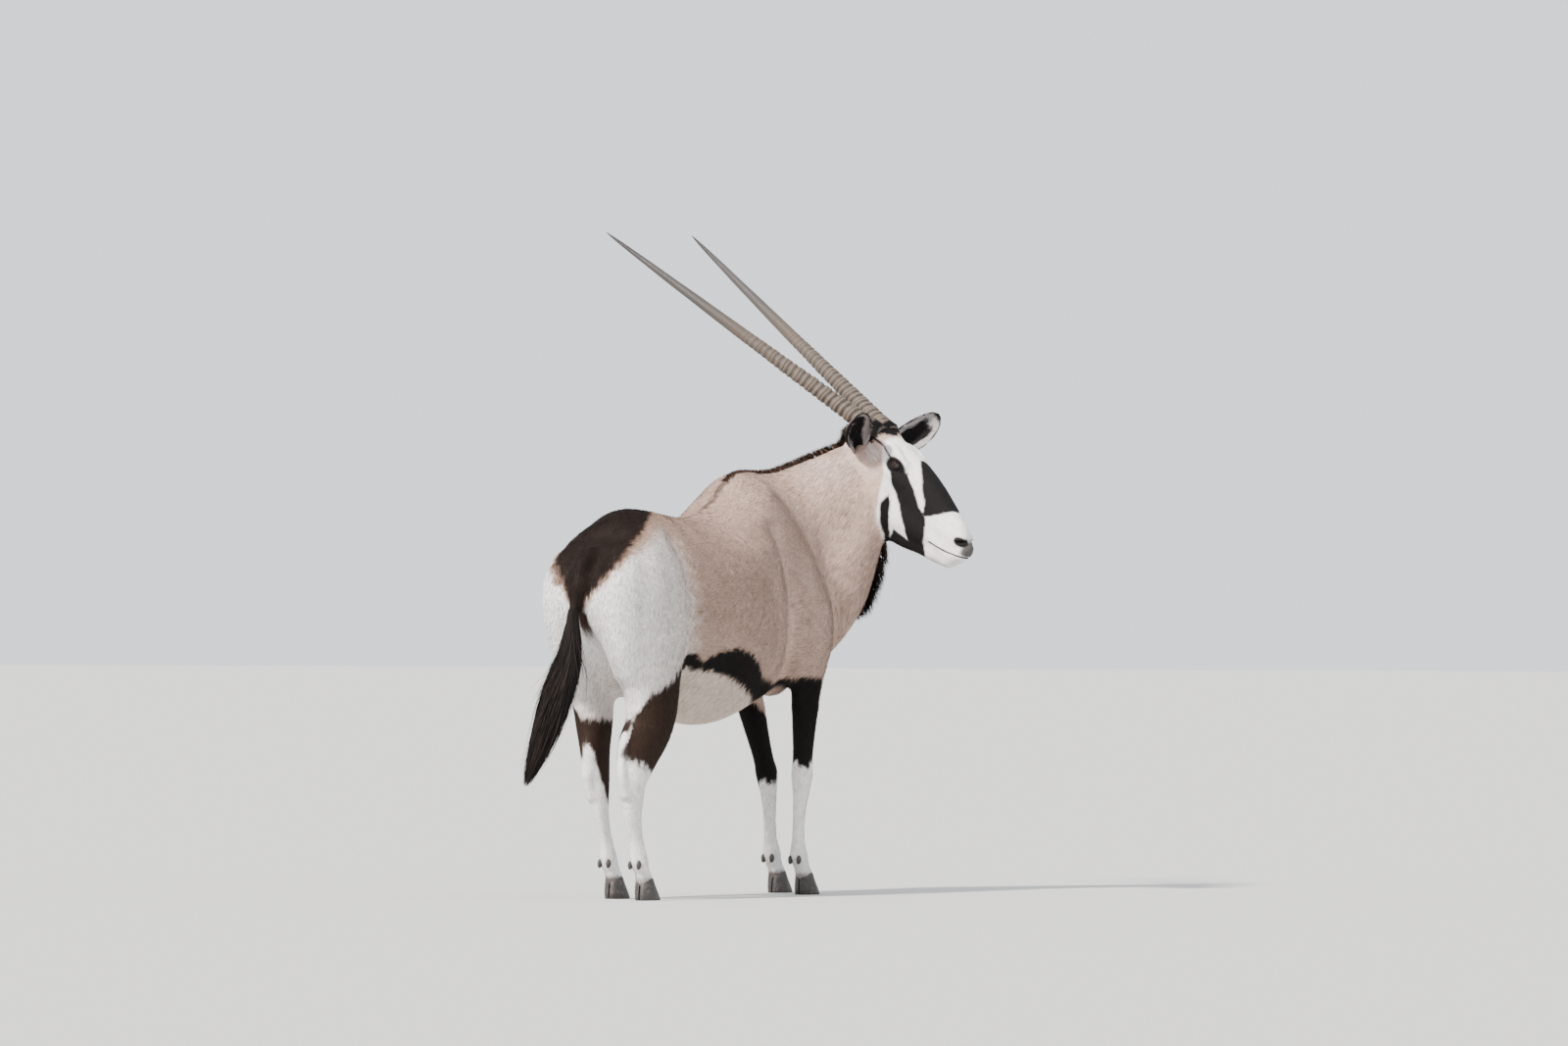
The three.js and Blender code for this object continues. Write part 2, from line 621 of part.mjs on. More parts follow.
// A horn: rings on its lower part, then smooth to the point, sagging a little back along its length
const hornRadius = (share) => HORN.radius * (1 - share) ** 0.62 * (1 - 0.1 * share) + HORN.point;
function makeHorn(hand, side) {
  const base = headSpot(HORN.along, side * HORN.out, HORN.up);
  const tip = headSpot(HORN.along - HORN.length, side * (HORN.out + HORN.spread), HORN.up - HORN.drop);
  const long = base.distanceTo(tip);
  const ringed = HORN.ringed * long;
  const pitch = ringed / HORN.rings;
  const profile = [[0, -HORN.sunk], [HORN.radius, -HORN.sunk]];
  for (let i = 0; i < HORN.rings; i++) {
    const from = i * pitch;
    const radius = hornRadius(from / long);
    profile.push([radius + HORN.relief, from + 0.35 * pitch], [radius - HORN.relief, from + 0.85 * pitch]);
  }
  for (const share of [0.08, 0.25, 0.45, 0.65, 0.82, 0.94]) {
    const at = ringed + (long - ringed) * share;
    profile.push([hornRadius(at / long), at]);
  }
  profile.push([0, long]);
  const geometry = new THREE.LatheGeometry(profile.map(([x, y]) => new THREE.Vector2(x, y)), HORN.sides);
  const spots = geometry.getAttribute("position");
  for (let i = 0; i < spots.count; i++) {
    const share = spots.getY(i) / long;
    spots.setZ(i, spots.getZ(i) + 4 * HORN.sag * share * (1 - share));
  }
  const upward = tip.clone().sub(base).normalize();
  const across = V(1, 0, 0).addScaledVector(upward, -upward.x).normalize();
  const frame = new THREE.Matrix4().makeBasis(across, upward, across.clone().cross(upward)).setPosition(base);
  pieces[`horn_${hand}`] = solid(geometry, frame);
}

// Where the ears grow from the head, and the directions that each ear and its opening point in
const EARS = {
  along: 44, out: 60, up: -2,
  right: { along: V(-0.71, -0.48, 0.5), open: V(-0.64, -0.76, -0.1) },
  left: { along: V(0.5, -0.69, 0.5), open: V(-0.75, -0.66, 0.05) },
};

// Ear rows from the stalk to the tip: place along it, half-width, depth of the cup, thickness of its wall
const EAR_ROWS = [
  [-16, 18, 18, 9],
  [22, 24, 23, 10],
  [58, 36, 30, 6],
  [96, 43, 31, 4.5],
  [134, 42, 26, 4],
  [168, 34, 18, 3.5],
  [192, 21, 10, 3],
  [205, 7, 4, 2.5],
];
const EAR_TURNS = 7;
const EAR_LENGTH = 205;
// How far the middle of each ear bows to its side
const EAR_BOW = { right: 5, left: -12 };
function makeEar(hand, base, along, open) {
  const x = along.clone().normalize();
  const z = open.clone().addScaledVector(x, -open.dot(x)).normalize();
  const frame = new THREE.Matrix4().makeBasis(x, z.clone().cross(x), z).setPosition(base);
  const arc = (at, wide, deep, reach) => Array.from({ length: EAR_TURNS }, (_, i) => {
    const angle = Math.PI * (i / (EAR_TURNS - 1) - 0.5) * reach;
    const bow = EAR_BOW[hand] * Math.sin(Math.PI * Math.max(at, 0) / EAR_LENGTH);
    return V(at, wide * Math.sin(angle) + bow, -deep * Math.cos(angle)).applyMatrix4(frame);
  });
  const rings = EAR_ROWS.map(([at, wide, deep, wall]) => [
    ...arc(at, wide, deep, 1.2),
    ...arc(at, Math.max(wide - wall, 0.7), Math.max(deep - wall, 0.7), 1.08).reverse(),
  ]);
  pieces[`ear_${hand}`] = tube(rings);
}

// What is drawn together with its copy moved along a direction by the gap, to cut a neighbour clear of it
const withGap = (made, direction) => {
  const { x, y, z } = direction.clone().setLength(GAP);
  return made.add(made.translate([x, y, z]));
};

// A ball at a place in the head's own frame
function ball(along, out, up, size, slant = 0) {
  const placed = inHead.clone().multiply(shift(along, out, up)).multiply(turn(V(0, 1, 0), -slant));
  return solid(new THREE.SphereGeometry(1, 12, 7), placed.scale(V(...size)));
}

// A flat outline in the plane of the face's length and height, made thick from one place across it to another
function acrossHead(outline, from, to) {
  const shape = new THREE.Shape(outline.map(([x, y]) => new THREE.Vector2(x, y)));
  const geometry = new THREE.ExtrudeGeometry(shape, { depth: to - from, bevelEnabled: false });
  const standing = new THREE.Matrix4().makeBasis(V(1, 0, 0), V(0, 0, 1), V(0, -1, 0)).setPosition(0, to, 0);
  return solid(geometry, inHead.clone().multiply(standing));
}

// An almond outline round the eye, turned by its slant
function almond() {
  const half = Array.from({ length: 7 }, (_, i) => (Math.PI * i) / 6 - Math.PI / 2);
  const edge = [
    ...half.map((a) => [(EYE.length / 2) * Math.sin(a), (EYE.height / 2) * Math.cos(a)]),
    ...half.slice(1, -1).reverse().map((a) => [(EYE.length / 2) * Math.sin(a), -(EYE.height / 2) * Math.cos(a)]),
  ];
  const [c, s] = [Math.cos(EYE.slant), Math.sin(EYE.slant)];
  return edge.map(([x, y]) => [EYE.along + x * c - y * s, EYE.up + x * s + y * c]);
}

const HEAD_BOX = { low: [-90, -180, -260], high: [520, 180, 130] };

// The head with its lids, the slot of the mouth and the nostrils
function makeHead() {
  let made = beforePlane(skin(body, HEAD_BOX.low, HEAD_BOX.high, CELLS.head, inHead), HEAD_CUT);
  for (const side of [-1, 1]) {
    const spot = [EYE.along, side * EYE.out, EYE.up];
    made = made.add(ball(...spot, Array(3).fill(EYE.radius + EYE.lid)));
    made = made.subtract(ball(...spot, Array(3).fill(EYE.radius + GAP)));
    const reach = [EYE.out + EYE.radius / 2, EYE.out + 3 * EYE.radius];
    made = made.subtract(acrossHead(almond(), ...(side > 0 ? reach : reach.map((y) => -y).reverse())));
    made = made.subtract(ball(NOSTRIL.along, side * NOSTRIL.out, NOSTRIL.up, NOSTRIL.size, NOSTRIL.slant));
  }
  const line = [0, 0.25, 0.5, 0.75, 1].map((share) => [
    MOUTH.corner + (MOUTH.front - MOUTH.corner) * share,
    MOUTH.up + MOUTH.drop * Math.sin(Math.PI * share) + MOUTH.rise * share,
  ]);
  const lower = line.slice(1).reverse().map(([x, y]) => [x, y - MOUTH.height]);
  pieces.head = largest(made.subtract(acrossHead([...line, ...lower], -MOUTH.breadth, MOUTH.breadth)));
}

function makeEyes() {
  for (const [hand, side] of [["left", 1], ["right", -1]]) {
    pieces[`eye_${hand}`] = ball(EYE.along, side * EYE.out, EYE.up, Array(3).fill(EYE.radius));
  }
}

// The tail: rows of x, y, z, half-width, front and back, from the rump to the tips of its hair
const TAIL = [
  [-560, 0, 1000, 22, 22, 30],
  [-606, 0, 978, 26, 24, 28],
  [-640, 1, 930, 24, 23, 24],
  [-652, 3, 870, 20, 20, 20],
  [-664, 4, 770, 17, 17, 17],
];
const TAIL_HAIR = [
  [-661, 4, 800, 20, 20, 20],
  [-668, 5, 740, 30, 28, 26],
  [-686, 12, 670, 46, 40, 34],
  [-702, 28, 600, 52, 42, 36],
  [-714, 46, 530, 48, 38, 34],
  [-724, 66, 460, 38, 30, 28],
  [-734, 90, 390, 24, 20, 18],
  [-742, 112, 330, 8, 7, 6],
];
const TAIL_CUT = [V(-662, 4, 782), V(0, 0.05, -1)];
const TAIL_CORE = { rows: 5, size: 0.6 }; // of the tuft, whose locks reach on from it
const upright = () => V(0, 1, 0);

// Rings of a lock of hair: the share of its length at each, and its share of the width and thickness
const SHORT_LOCK = [[0, 0.85], [0.5, 1], [1, 0.1]];
const LONG_LOCK = [[0, 0.75], [0.4, 1], [0.75, 0.62], [1, 0.08]];

// A flat, tapered lock along a curve, which is a function of the share of its length, wide across one direction
function lock(rings, curve, across, wide, thick) {
  return tube(rings.map(([share, width]) => {
    const at = curve(share);
    const along = curve(share + 0.05).sub(curve(share - 0.05)).normalize();
    const side = across.clone().addScaledVector(along, -across.dot(along)).setLength((wide * width) / 2);
    const through = along.clone().cross(side).setLength((thick * width) / 2);
    return [side, through, side.clone().negate(), through.clone().negate()].map((corner) => corner.add(at));
  }));
}

// A curve from a root that sets off one way and bends another, as a function of the share of its length
function bent(root, stand, bend, length) {
  return (part) => root.clone().addScaledVector(stand, part * length).addScaledVector(bend, part * part * length);
}

// The tail's hair: a core, and locks that run from it down to the outline of the whole, in turns round the tail
function makeSwitch(random) {
  const coreRows = TAIL_HAIR.slice(0, TAIL_CORE.rows).map(([x, y, z, ...sizes]) => [
    x, y, z, ...sizes.map((size) => size * TAIL_CORE.size),
  ]);
  let hair = skin(limb(coreRows, upright), [-800, -70, 300], [-600, 180, 840], CELLS.tuft);
  const lastRow = TAIL_HAIR.length - 1;
  const turnEach = Math.PI * (3 - Math.sqrt(5));
  for (let i = 0; i < SWITCH.locks; i++) {
    const from = 0.5 + (TAIL_CORE.rows - 1.4) * ((i + random()) / SWITCH.locks);
    const to = Math.min(from + SWITCH.span * (0.8 + 0.3 * random()), lastRow);
    const angle = turnEach * i;
    const loose = SWITCH.loose * random() ** 2;
    const curve = (share) => {
      const [x, y, z, wide, front, back] = smoothRow(TAIL_HAIR, Math.min(from + (to - from) * share, lastRow));
      const out = 0.25 + 0.66 * Math.min(1.6 * share, 1) + loose * share * share;
      return V(x + (Math.cos(angle) > 0 ? front : back) * out * Math.cos(angle), y + wide * out * Math.sin(angle), z);
    };
    hair = hair.add(lock(LONG_LOCK, curve, V(-Math.sin(angle), Math.cos(angle), 0), SWITCH.wide, SWITCH.thick));
  }
  return hair;
}

function makeTail(random) {
  const dock = skin(limb(TAIL, upright), [-720, -60, 740], [-520, 60, 1040], CELLS.dock);
  const clear = withGap(pieces.torso, V(-1, 0, -0.35));
  pieces.tail_dock = largest(behindPlane(dock, TAIL_CUT).subtract(clear));
  pieces.tail_tuft = beforePlane(makeSwitch(random), TAIL_CUT);
}

// The nape, from the withers to between the ears, and the black line down the throat
const NAPE = [
  [215, 0, 1260], [300, -2, 1262], [380, -12, 1270], [450, -45, 1300], [510, -92, 1330], [556, -140, 1360],
];
const NAPE_HEIGHTS = [3, 9, 19, 26, 28, 24];
const THROAT = [[617, -289, 1080], [623, -286, 1030], [627, -270, 980], [633, -247, 930], [632, -210, 880]];
const THROAT_HEIGHTS = [3, 10, 22, 32, 5];

// A point drawn onto the skin, and the direction out of it there
function onSkin([x, y, z]) {
  const point = V(x, y, z);
  drawOnto(body, point, 200);
  const out = V(body(V(x + 1, y, z)) - body(V(x, y, z)), body(V(x, y + 1, z)) - body(V(x, y, z)),
    body(V(x, y, z + 1)) - body(V(x, y, z))).normalize();
  return { point, out };
}

// A low crest along a route on the skin: a wedge, sunk at its foot, up to its height at each place
function crest(route, tall, wide, sunk) {
  const spots = route.map(onSkin);
  return tube(spots.map(({ point, out }, i) => {
    const ahead = spots[Math.min(i + 1, spots.length - 1)].point;
    const side = ahead.clone().sub(spots[Math.max(i - 1, 0)].point).cross(out).normalize();
    const height = tall[i];
    return [[-wide, -sunk], [wide, -sunk], [wide, 0], [wide * 0.2, height], [-wide * 0.2, height], [-wide, 0]].map(
      ([across, up]) => point.clone().addScaledVector(side, across).addScaledVector(out, up),
    );
  }));
}

// A place on a route: its point on the skin, the ways along the route, out of the skin and across, and its share
function spotOn(route, share) {
  const place = share * (route.length - 1);
  const { point, out } = onSkin(smoothRow(route, place));
  const along = onSkin(smoothRow(route, Math.min(place + 0.1, route.length - 1))).point;
  along.sub(onSkin(smoothRow(route, Math.max(place - 0.1, 0))).point).normalize();
  return { point, along, out, side: along.clone().cross(out).normalize() };
}

// The short mane: locks that stand along the nape in two rows, leaning back
function makeMane(random) {
  const locks = [];
  for (let i = 0; i < MANE.locks; i++) {
    const share = (i + 0.5) / MANE.locks;
    const { point, along, out, side } = spotOn(NAPE, share);
    const [tall] = smoothRow(NAPE_HEIGHTS.map((height) => [height]), share * (NAPE.length - 1));
    const length = MANE.sunk + tall * (0.95 + 0.25 * random());
    const root = point.addScaledVector(side, (i % 2 ? 1 : -1) * MANE.off * (0.6 + 0.6 * random()));
    root.addScaledVector(out, -MANE.sunk);
    const stand = out.clone().addScaledVector(along, MANE.lean * random()).normalize();
    const bend = side.multiplyScalar(0.3 * (random() - 0.5)).addScaledVector(along, 0.6 * MANE.lean * random());
    locks.push(lock(SHORT_LOCK, bent(root, stand, bend, length), along, MANE.wide, MANE.thick));
  }
  return locks;
}

// The tuft down the throat: locks that hang along the route, longer towards its end
function makeBeard(random) {
  const locks = [crest(THROAT, THROAT_HEIGHTS.map((height) => height * BEARD.core), BEARD.off, BEARD.sunk)];
  for (let i = 0; i < BEARD.locks; i++) {
    const share = BEARD.from + (BEARD.reach * (i + 0.5)) / BEARD.locks;
    const { point, along, out, side } = spotOn(THROAT, share);
    const [least, most] = BEARD.long;
    const length = BEARD.sunk + least + (most - least) * share * (0.7 + 0.6 * random());
    const root = point.addScaledVector(side, BEARD.off * (2 * random() - 1)).addScaledVector(out, -BEARD.sunk);
    const stand = out.clone().addScaledVector(along, BEARD.drop).normalize();
    const bend = along.multiplyScalar(0.3).addScaledVector(out, -0.15).addScaledVector(side, 0.3 * (random() - 0.5));
    locks.push(lock(SHORT_LOCK, bent(root, stand, bend, length), side, BEARD.wide, BEARD.thick));
  }
  return locks;
}

// Trims what grows out of a piece along a direction clear of it
function trim(name, root, direction) {
  pieces[name] = largest(pieces[name].subtract(withGap(pieces[root], direction)));
}

const random = dice(HAIR_SEED);
makeTorso();
makeNeck(random);
for (const hand of HANDS) {
  makeLegs(hand);
  makeClaws(hand);
}
makeHead();
makeEyes();
makeTail(random);
for (const hand of HANDS) {
  const side = hand === "left" ? 1 : -1;
  makeHorn(hand, side);
  trim(`horn_${hand}`, "head", V(0.2 * side, 0.8, 0.57));
  const { along, open } = EARS[hand];
  makeEar(hand, headSpot(EARS.along, side * EARS.out, EARS.up), along, open);
  trim(`ear_${hand}`, "head", along);
  trim(`ear_${hand}`, "neck", along);
}

// Finishes, and the first part of the names of the pieces that take each; the rest are coat
const FINISHES = [
  [/^eye/, { color: 0x1a120d, roughness: 0.08 }],
  [/^horn/, { color: 0x5b4c3f, roughness: 0.55 }],
  [/_claw_/, { color: 0x2a2421, roughness: 0.5 }],
  [/^tail_tuft/, { color: 0x15120f, roughness: 0.65 }],
  [/^tail_dock/, { color: 0x3a2a20, roughness: 0.85 }],
  [/^ear/, { color: 0x6e625b, roughness: 0.85 }],
  [/^head/, { color: 0xd9d3ce, roughness: 0.85 }],
  [/cannon/, { color: 0xd8cfc6, roughness: 0.85 }],
  [/./, { color: 0xb8a08f, roughness: 0.85 }],
];

const group = new THREE.Group();
for (const [name, made] of Object.entries(pieces)) {
  const { vertProperties, triVerts } = made.setTolerance(WELD).getMesh();
  const geometry = new THREE.BufferGeometry()
    .setAttribute("position", new THREE.BufferAttribute(vertProperties, 3))
    .setIndex(new THREE.BufferAttribute(triVerts, 1));
  const [, finish] = FINISHES.find(([names]) => names.test(name));
  const mesh = new THREE.Mesh(geometry, new THREE.MeshStandardMaterial({ ...finish, metalness: 0 }));
  mesh.name = name;
  group.add(mesh);
}
// The origin is on the floor under the middle of the whole animal
const whole = new THREE.Box3().setFromObject(group);
const middle = whole.getCenter(V(0, 0, 0));
group.position.set(-middle.x, -middle.y, -whole.min.z);
export default group;
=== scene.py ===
"""A life-size standing gemsbok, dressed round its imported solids: one skin with its markings, short fur, mane, throat
tuft and tail of hair, ringed horns, hooves and eyes, on a pale studio floor.

The forms are worked out in millimetres in the animal's own frame, +X forward, +Y to its left, +Z up, and are moved
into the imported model's frame, in metres, by the place of its eyes.
"""

import math

import bpy
import numpy as np
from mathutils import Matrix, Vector
from mathutils.kdtree import KDTree


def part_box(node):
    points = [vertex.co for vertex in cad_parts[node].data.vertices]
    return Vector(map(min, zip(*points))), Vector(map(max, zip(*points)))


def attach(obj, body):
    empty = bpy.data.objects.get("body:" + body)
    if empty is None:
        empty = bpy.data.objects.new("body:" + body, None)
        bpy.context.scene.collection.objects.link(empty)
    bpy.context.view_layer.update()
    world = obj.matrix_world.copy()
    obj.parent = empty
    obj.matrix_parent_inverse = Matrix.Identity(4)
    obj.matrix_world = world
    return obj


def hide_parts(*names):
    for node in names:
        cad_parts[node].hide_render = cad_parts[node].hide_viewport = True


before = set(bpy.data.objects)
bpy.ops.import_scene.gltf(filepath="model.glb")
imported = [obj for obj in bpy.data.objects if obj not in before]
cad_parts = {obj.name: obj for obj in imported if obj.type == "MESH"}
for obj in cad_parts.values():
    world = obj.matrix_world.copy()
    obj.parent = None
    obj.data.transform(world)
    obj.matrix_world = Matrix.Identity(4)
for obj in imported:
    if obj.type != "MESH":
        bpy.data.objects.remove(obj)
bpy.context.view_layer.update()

# Driving sizes, in millimetres
AXIS_HEIGHT = 850
HEAD_ORIGIN = np.array([620.0, -176.0, 1334.0])
HEAD_PITCH = math.radians(38)
EYE = {"along": 172, "out": 57, "up": 45, "radius": 18, "length": 33, "height": 21, "slant": 0.3}
EYE_SOCKET = 2.6
MOUTH = {"corner": 392, "front": 530, "up": -74, "rise": 38, "drop": -5}
NOSTRIL = {"along": 472, "out": 27, "up": -12, "slant": 0.7}
HORN = {"along": 35, "out": 38, "up": 68, "length": 997, "spread": 198, "drop": 34, "sunk": 26, "sag": 2,
        "radius": 27.5, "taper": 0.55, "point": 0.8, "ringed": 0.5, "rings": 31}
CLAW = {"length": 96, "width": 29, "cleft": 2.5, "forward": 14, "splay": 0.1, "coronet": 58}
DEWCLAW = {"back": 30, "out": 14.5, "below": 15, "size": (11, 8, 15)}
SIDES = {"left": 1, "right": -1}
FAR = 1e4
SEED = 11

rng = np.random.default_rng(SEED)


def unit(vectors):
    return vectors / np.maximum(np.linalg.norm(vectors, axis=-1, keepdims=True), 1e-9)


def smoothstep(low, high, value):
    share = np.clip((value - low) / (high - low), 0, 1)
    return share * share * (3 - 2 * share)


def smooth_rows(rows, places):
    """All columns of a table at places along it, on one smooth curve through its rows."""
    rows = np.asarray(rows, float)
    first = np.minimum(np.floor(places).astype(int), len(rows) - 2)
    share = (places - first)[:, None]
    a, b = rows[first], rows[first + 1]
    before, after = rows[np.maximum(first - 1, 0)], rows[np.minimum(first + 2, len(rows) - 1)]
    leave, arrive = (b - before) / 2, (after - a) / 2
    return a + share * (leave + share * (3 * (b - a) - 2 * leave - arrive + share * (2 * (a - b) + leave + arrive)))


class Limb:
    """A field round a path, negative inside: rows of x, y, z, half-width, top and bottom. side_at gives what
    points across it at a place in the rows."""

    STEPS = 4
    REACH = 85

    def __init__(self, rows, side_at=None, power=2.0):
        self.last = (len(rows) - 1) * self.STEPS
        places = np.arange(self.last + 1) / self.STEPS
        rings = smooth_rows(rows, places)
        self.at, self.sizes, self.power = rings[:, :3], rings[:, 3:], power
        index = np.arange(self.last + 1)
        self.along = unit(self.at[np.minimum(index + 1, self.last)] - self.at[np.maximum(index - 1, 0)])
        side = np.array([side_at(place) if side_at else (0, 1, 0) for place in places], float)
        self.out = unit(side - self.along * (side * self.along).sum(1, keepdims=True))
        self.top = np.cross(self.along, self.out)
        margin = self.sizes.max() + self.REACH
        self.low, self.high = self.at.min(0) - margin, self.at.max(0) + margin

    def nearest(self, points):
        """The ring before each point's nearest place on the path, and the share of the way to the next."""
        start, step = self.at[:-1], np.diff(self.at, axis=0)
        length = (step**2).sum(1)
        forward = points @ step.T - (start * step).sum(1)
        share = np.clip(forward / length, 0, 1)
        far = (start**2).sum(1) - 2 * points @ start.T - 2 * share * forward + share**2 * length
        ring = far.argmin(1)
        return ring, share[np.arange(len(points)), ring]

    def __call__(self, points):
        value = np.full(len(points), FAR)
        near = np.flatnonzero(((points > self.low) & (points < self.high)).all(1))
        for part in np.array_split(near, len(near) // 60000 + 1):
            value[part] = self.level(points[part])
        return value

    def level(self, points):
        ring, share = self.nearest(points)
        mixed = [a[ring] + share[:, None] * (a[ring + 1] - a[ring]) for a in (self.at, self.along, self.out, self.top)]
        sizes = self.sizes[ring] + share[:, None] * (self.sizes[ring + 1] - self.sizes[ring])
        offset = points - mixed[0]
        along, across, above = ((offset * way).sum(1) for way in mixed[1:])
        place = ring + share
        past = np.where((place <= 0) | (place >= self.last), along, 0)
        wide, tall, end = sizes[:, 0], np.where(above > 0, sizes[:, 1], sizes[:, 2]), sizes.min(1)
        reach = np.stack([wide, tall, end])
        shares = np.abs(np.stack([across, above, past])) / reach
        level = (shares**self.power).sum(0) ** (1 / self.power) + 1e-9
        slope = np.sqrt((((shares / level) ** (self.power - 1) / reach) ** 2).sum(0))
        return (level - 1) / np.maximum(slope, 1e-6)


def melt(a, b, width):
    """Two fields' values as one, melted together over a width."""
    share = np.maximum(width - np.abs(a - b), 0) / width
    return np.minimum(a, b) - share * share * width / 4


def flesh(*parts):
    """A list of (field, width) melted one after another."""
    def field(points):
        value = parts[0][0](points)
        for other, width in parts[1:]:
            value = melt(value, other(points), width)
        return value
    return field


def turning(first, each):
    return lambda place: (math.sin(first + each * place), math.cos(first + each * place), 0)


# The head's own frame: x along the face, y to its left, z up
HEAD_AXES = np.array([
    [0, -math.cos(HEAD_PITCH), -math.sin(HEAD_PITCH)],
    [1, 0, 0],
    [0, -math.sin(HEAD_PITCH), math.cos(HEAD_PITCH)],
])


def to_head(points):
    return (points - HEAD_ORIGIN) @ HEAD_AXES.T


def from_head(points):
    return np.asarray(points, float) @ HEAD_AXES + HEAD_ORIGIN


# The body's forms: rows of x, y, z, half-width, top and bottom
trunk = Limb([
    [-626, 0, 905, 40, 60, 40],
    [-590, 0, 890, 96, 150, 78],
    [-524, 0, 868, 142, 232, 130],
    [-426, 0, 855, 178, 278, 205],
    [-310, 0, AXIS_HEIGHT, 190, 281, 268],
    [-190, 0, AXIS_HEIGHT, 205, 266, 315],
    [-60, 0, AXIS_HEIGHT, 216, 259, 348],
    [60, 0, AXIS_HEIGHT, 212, 298, 344],
    [183, 0, AXIS_HEIGHT, 190, 383, 312],
    [300, 0, AXIS_HEIGHT, 165, 385, 268],
    [420, 0, AXIS_HEIGHT, 140, 320, 205],
    [520, 0, AXIS_HEIGHT, 104, 215, 140],
    [575, 0, AXIS_HEIGHT, 66, 110, 70],
])
neck = Limb([
    [330, 0, 1000, 130, 226, 240],
    [415, -22, 1050, 120, 200, 250],
    [496, -75, 1105, 104, 172, 220],
    [556, -140, 1160, 88, 150, 185],
    [596, -200, 1210, 74, 128, 150],
    [616, -256, 1250, 58, 92, 120],
], turning(0.15, 0.24))
throat = Limb([
    [400, 0, 640, 70, 90, 60],
    [448, -24, 720, 84, 110, 88],
    [498, -74, 800, 90, 120, 112],
    [532, -122, 900, 84, 120, 118],
    [562, -164, 980, 76, 110, 94],
    [590, -196, 1057, 70, 95, 64],
    [606, -216, 1130, 64, 80, 46],
], turning(0.1, 0.23))
brisket = Limb([
    [240, 0, 640, 70, 60, 62],
    [380, 0, 690, 74, 70, 64],
    [500, -6, 765, 66, 70, 60],
    [560, -24, 850, 56, 70, 46],
])

# Legs: rows of x, y, z, half-thickness across, reach to the front and to the back
FORELEG = {
    "right": [
        [205, -84, 1140, 38, 58, 80],
        [292, -122, 990, 52, 88, 115],
        [372, -146, 850, 60, 95, 130],
        [398, -146, 740, 57, 80, 112],
        [394, -136, 650, 49, 62, 80],
        [396, -128, 570, 41, 50, 57],
        [399, -120, 480, 34, 40, 43],
        [401, -114, 400, 30, 33, 34],
        [402, -111, 352, 33, 36, 33],
        [400, -109, 300, 26, 26, 28],
        [394, -107, 240, 19, 20, 25],
        [391, -106, 165, 19, 20, 26],
        [395, -105, 118, 26, 27, 33],
        [411, -105, 84, 24, 22, 25],
        [424, -105, 56, 28, 26, 28],
    ],
    "left": [
        [222, 84, 1140, 38, 58, 80],
        [325, 122, 990, 52, 88, 115],
        [425, 144, 850, 60, 92, 130],
        [462, 142, 740, 57, 80, 112],
        [468, 132, 650, 49, 62, 80],
        [484, 121, 570, 41, 50, 57],
        [505, 110, 480, 34, 40, 43],
        [526, 101, 400, 30, 33, 34],
        [538, 97, 352, 33, 36, 33],
        [544, 94, 300, 26, 26, 28],
        [546, 91, 240, 19, 20, 25],
        [548, 89, 165, 19, 20, 26],
        [554, 88, 118, 26, 27, 33],
        [570, 88, 84, 24, 22, 25],
        [583, 88, 56, 28, 26, 28],
    ],
}
HINDLEG = {
    "right": [
        [-446, -84, 985, 62, 92, 112],
        [-472, -94, 900, 86, 158, 165],
        [-468, -98, 800, 84, 165, 162],
        [-450, -106, 710, 78, 150, 144],
        [-434, -114, 640, 68, 120, 114],
        [-434, -118, 570, 60, 98, 92],
        [-448, -117, 500, 53, 84, 80],
        [-490, -111, 428, 42, 74, 78],
        [-518, -105, 352, 37, 56, 48],
        [-512, -102, 296, 31, 42, 40],
        [-500, -100, 235, 22, 29, 33],
        [-480, -99, 172, 19, 23, 28],
        [-465, -98, 118, 26, 28, 33],
        [-449, -98, 84, 24, 23, 25],
        [-436, -98, 56, 28, 26, 28],
    ],
    "left": [
        [-442, 84, 985, 62, 92, 112],
        [-468, 94, 900, 86, 158, 165],
        [-456, 98, 800, 84, 165, 162],
        [-424, 106, 710, 78, 150, 144],
        [-392, 114, 640, 68, 118, 114],
        [-374, 118, 570, 60, 96, 92],
        [-372, 116, 500, 53, 82, 80],
        [-376, 110, 424, 42, 72, 78],
        [-378, 103, 345, 37, 55, 48],
        [-374, 99, 290, 31, 42, 40],
        [-361, 96, 230, 22, 29, 33],
        [-344, 93, 170, 19, 23, 28],
        [-333, 91, 118, 26, 28, 33],
        [-318, 90, 84, 24, 23, 25],
        [-305, 90, 56, 28, 26, 28],
    ],
}
HOCK_ROW = 8
FETLOCK_ROW = 12
LAST_ROW = 14
STIFLE_TURN = 0.3


def stifle_turn(side):
    """The stifle turns outward, so the hind leg's sections turn with it below the thigh."""
    def side_at(place):
        share = float(smoothstep(2, 6, place) * (1 - smoothstep(10, 13, place)))
        return (-side * math.sin(STIFLE_TURN * share), math.cos(STIFLE_TURN * share), 0)
    return side_at


def heel_of(leg):
    x, y, z = leg[HOCK_ROW][:3]
    return Limb([
        [x - 26, y, z + 122, 10, 18, 16],
        [x - 50, y, z + 58, 13, 18, 15],
        [x - 55, y, z + 8, 17, 20, 13],
        [x - 34, y, z - 44, 15, 18, 14],
    ])


fore_legs = {hand: Limb(FORELEG[hand]) for hand in SIDES}
hind_legs = {hand: Limb(HINDLEG[hand], stifle_turn(side)) for hand, side in SIDES.items()}
hind_forms = {hand: flesh((hind_legs[hand], 1), (heel_of(HINDLEG[hand]), 18)) for hand in SIDES}


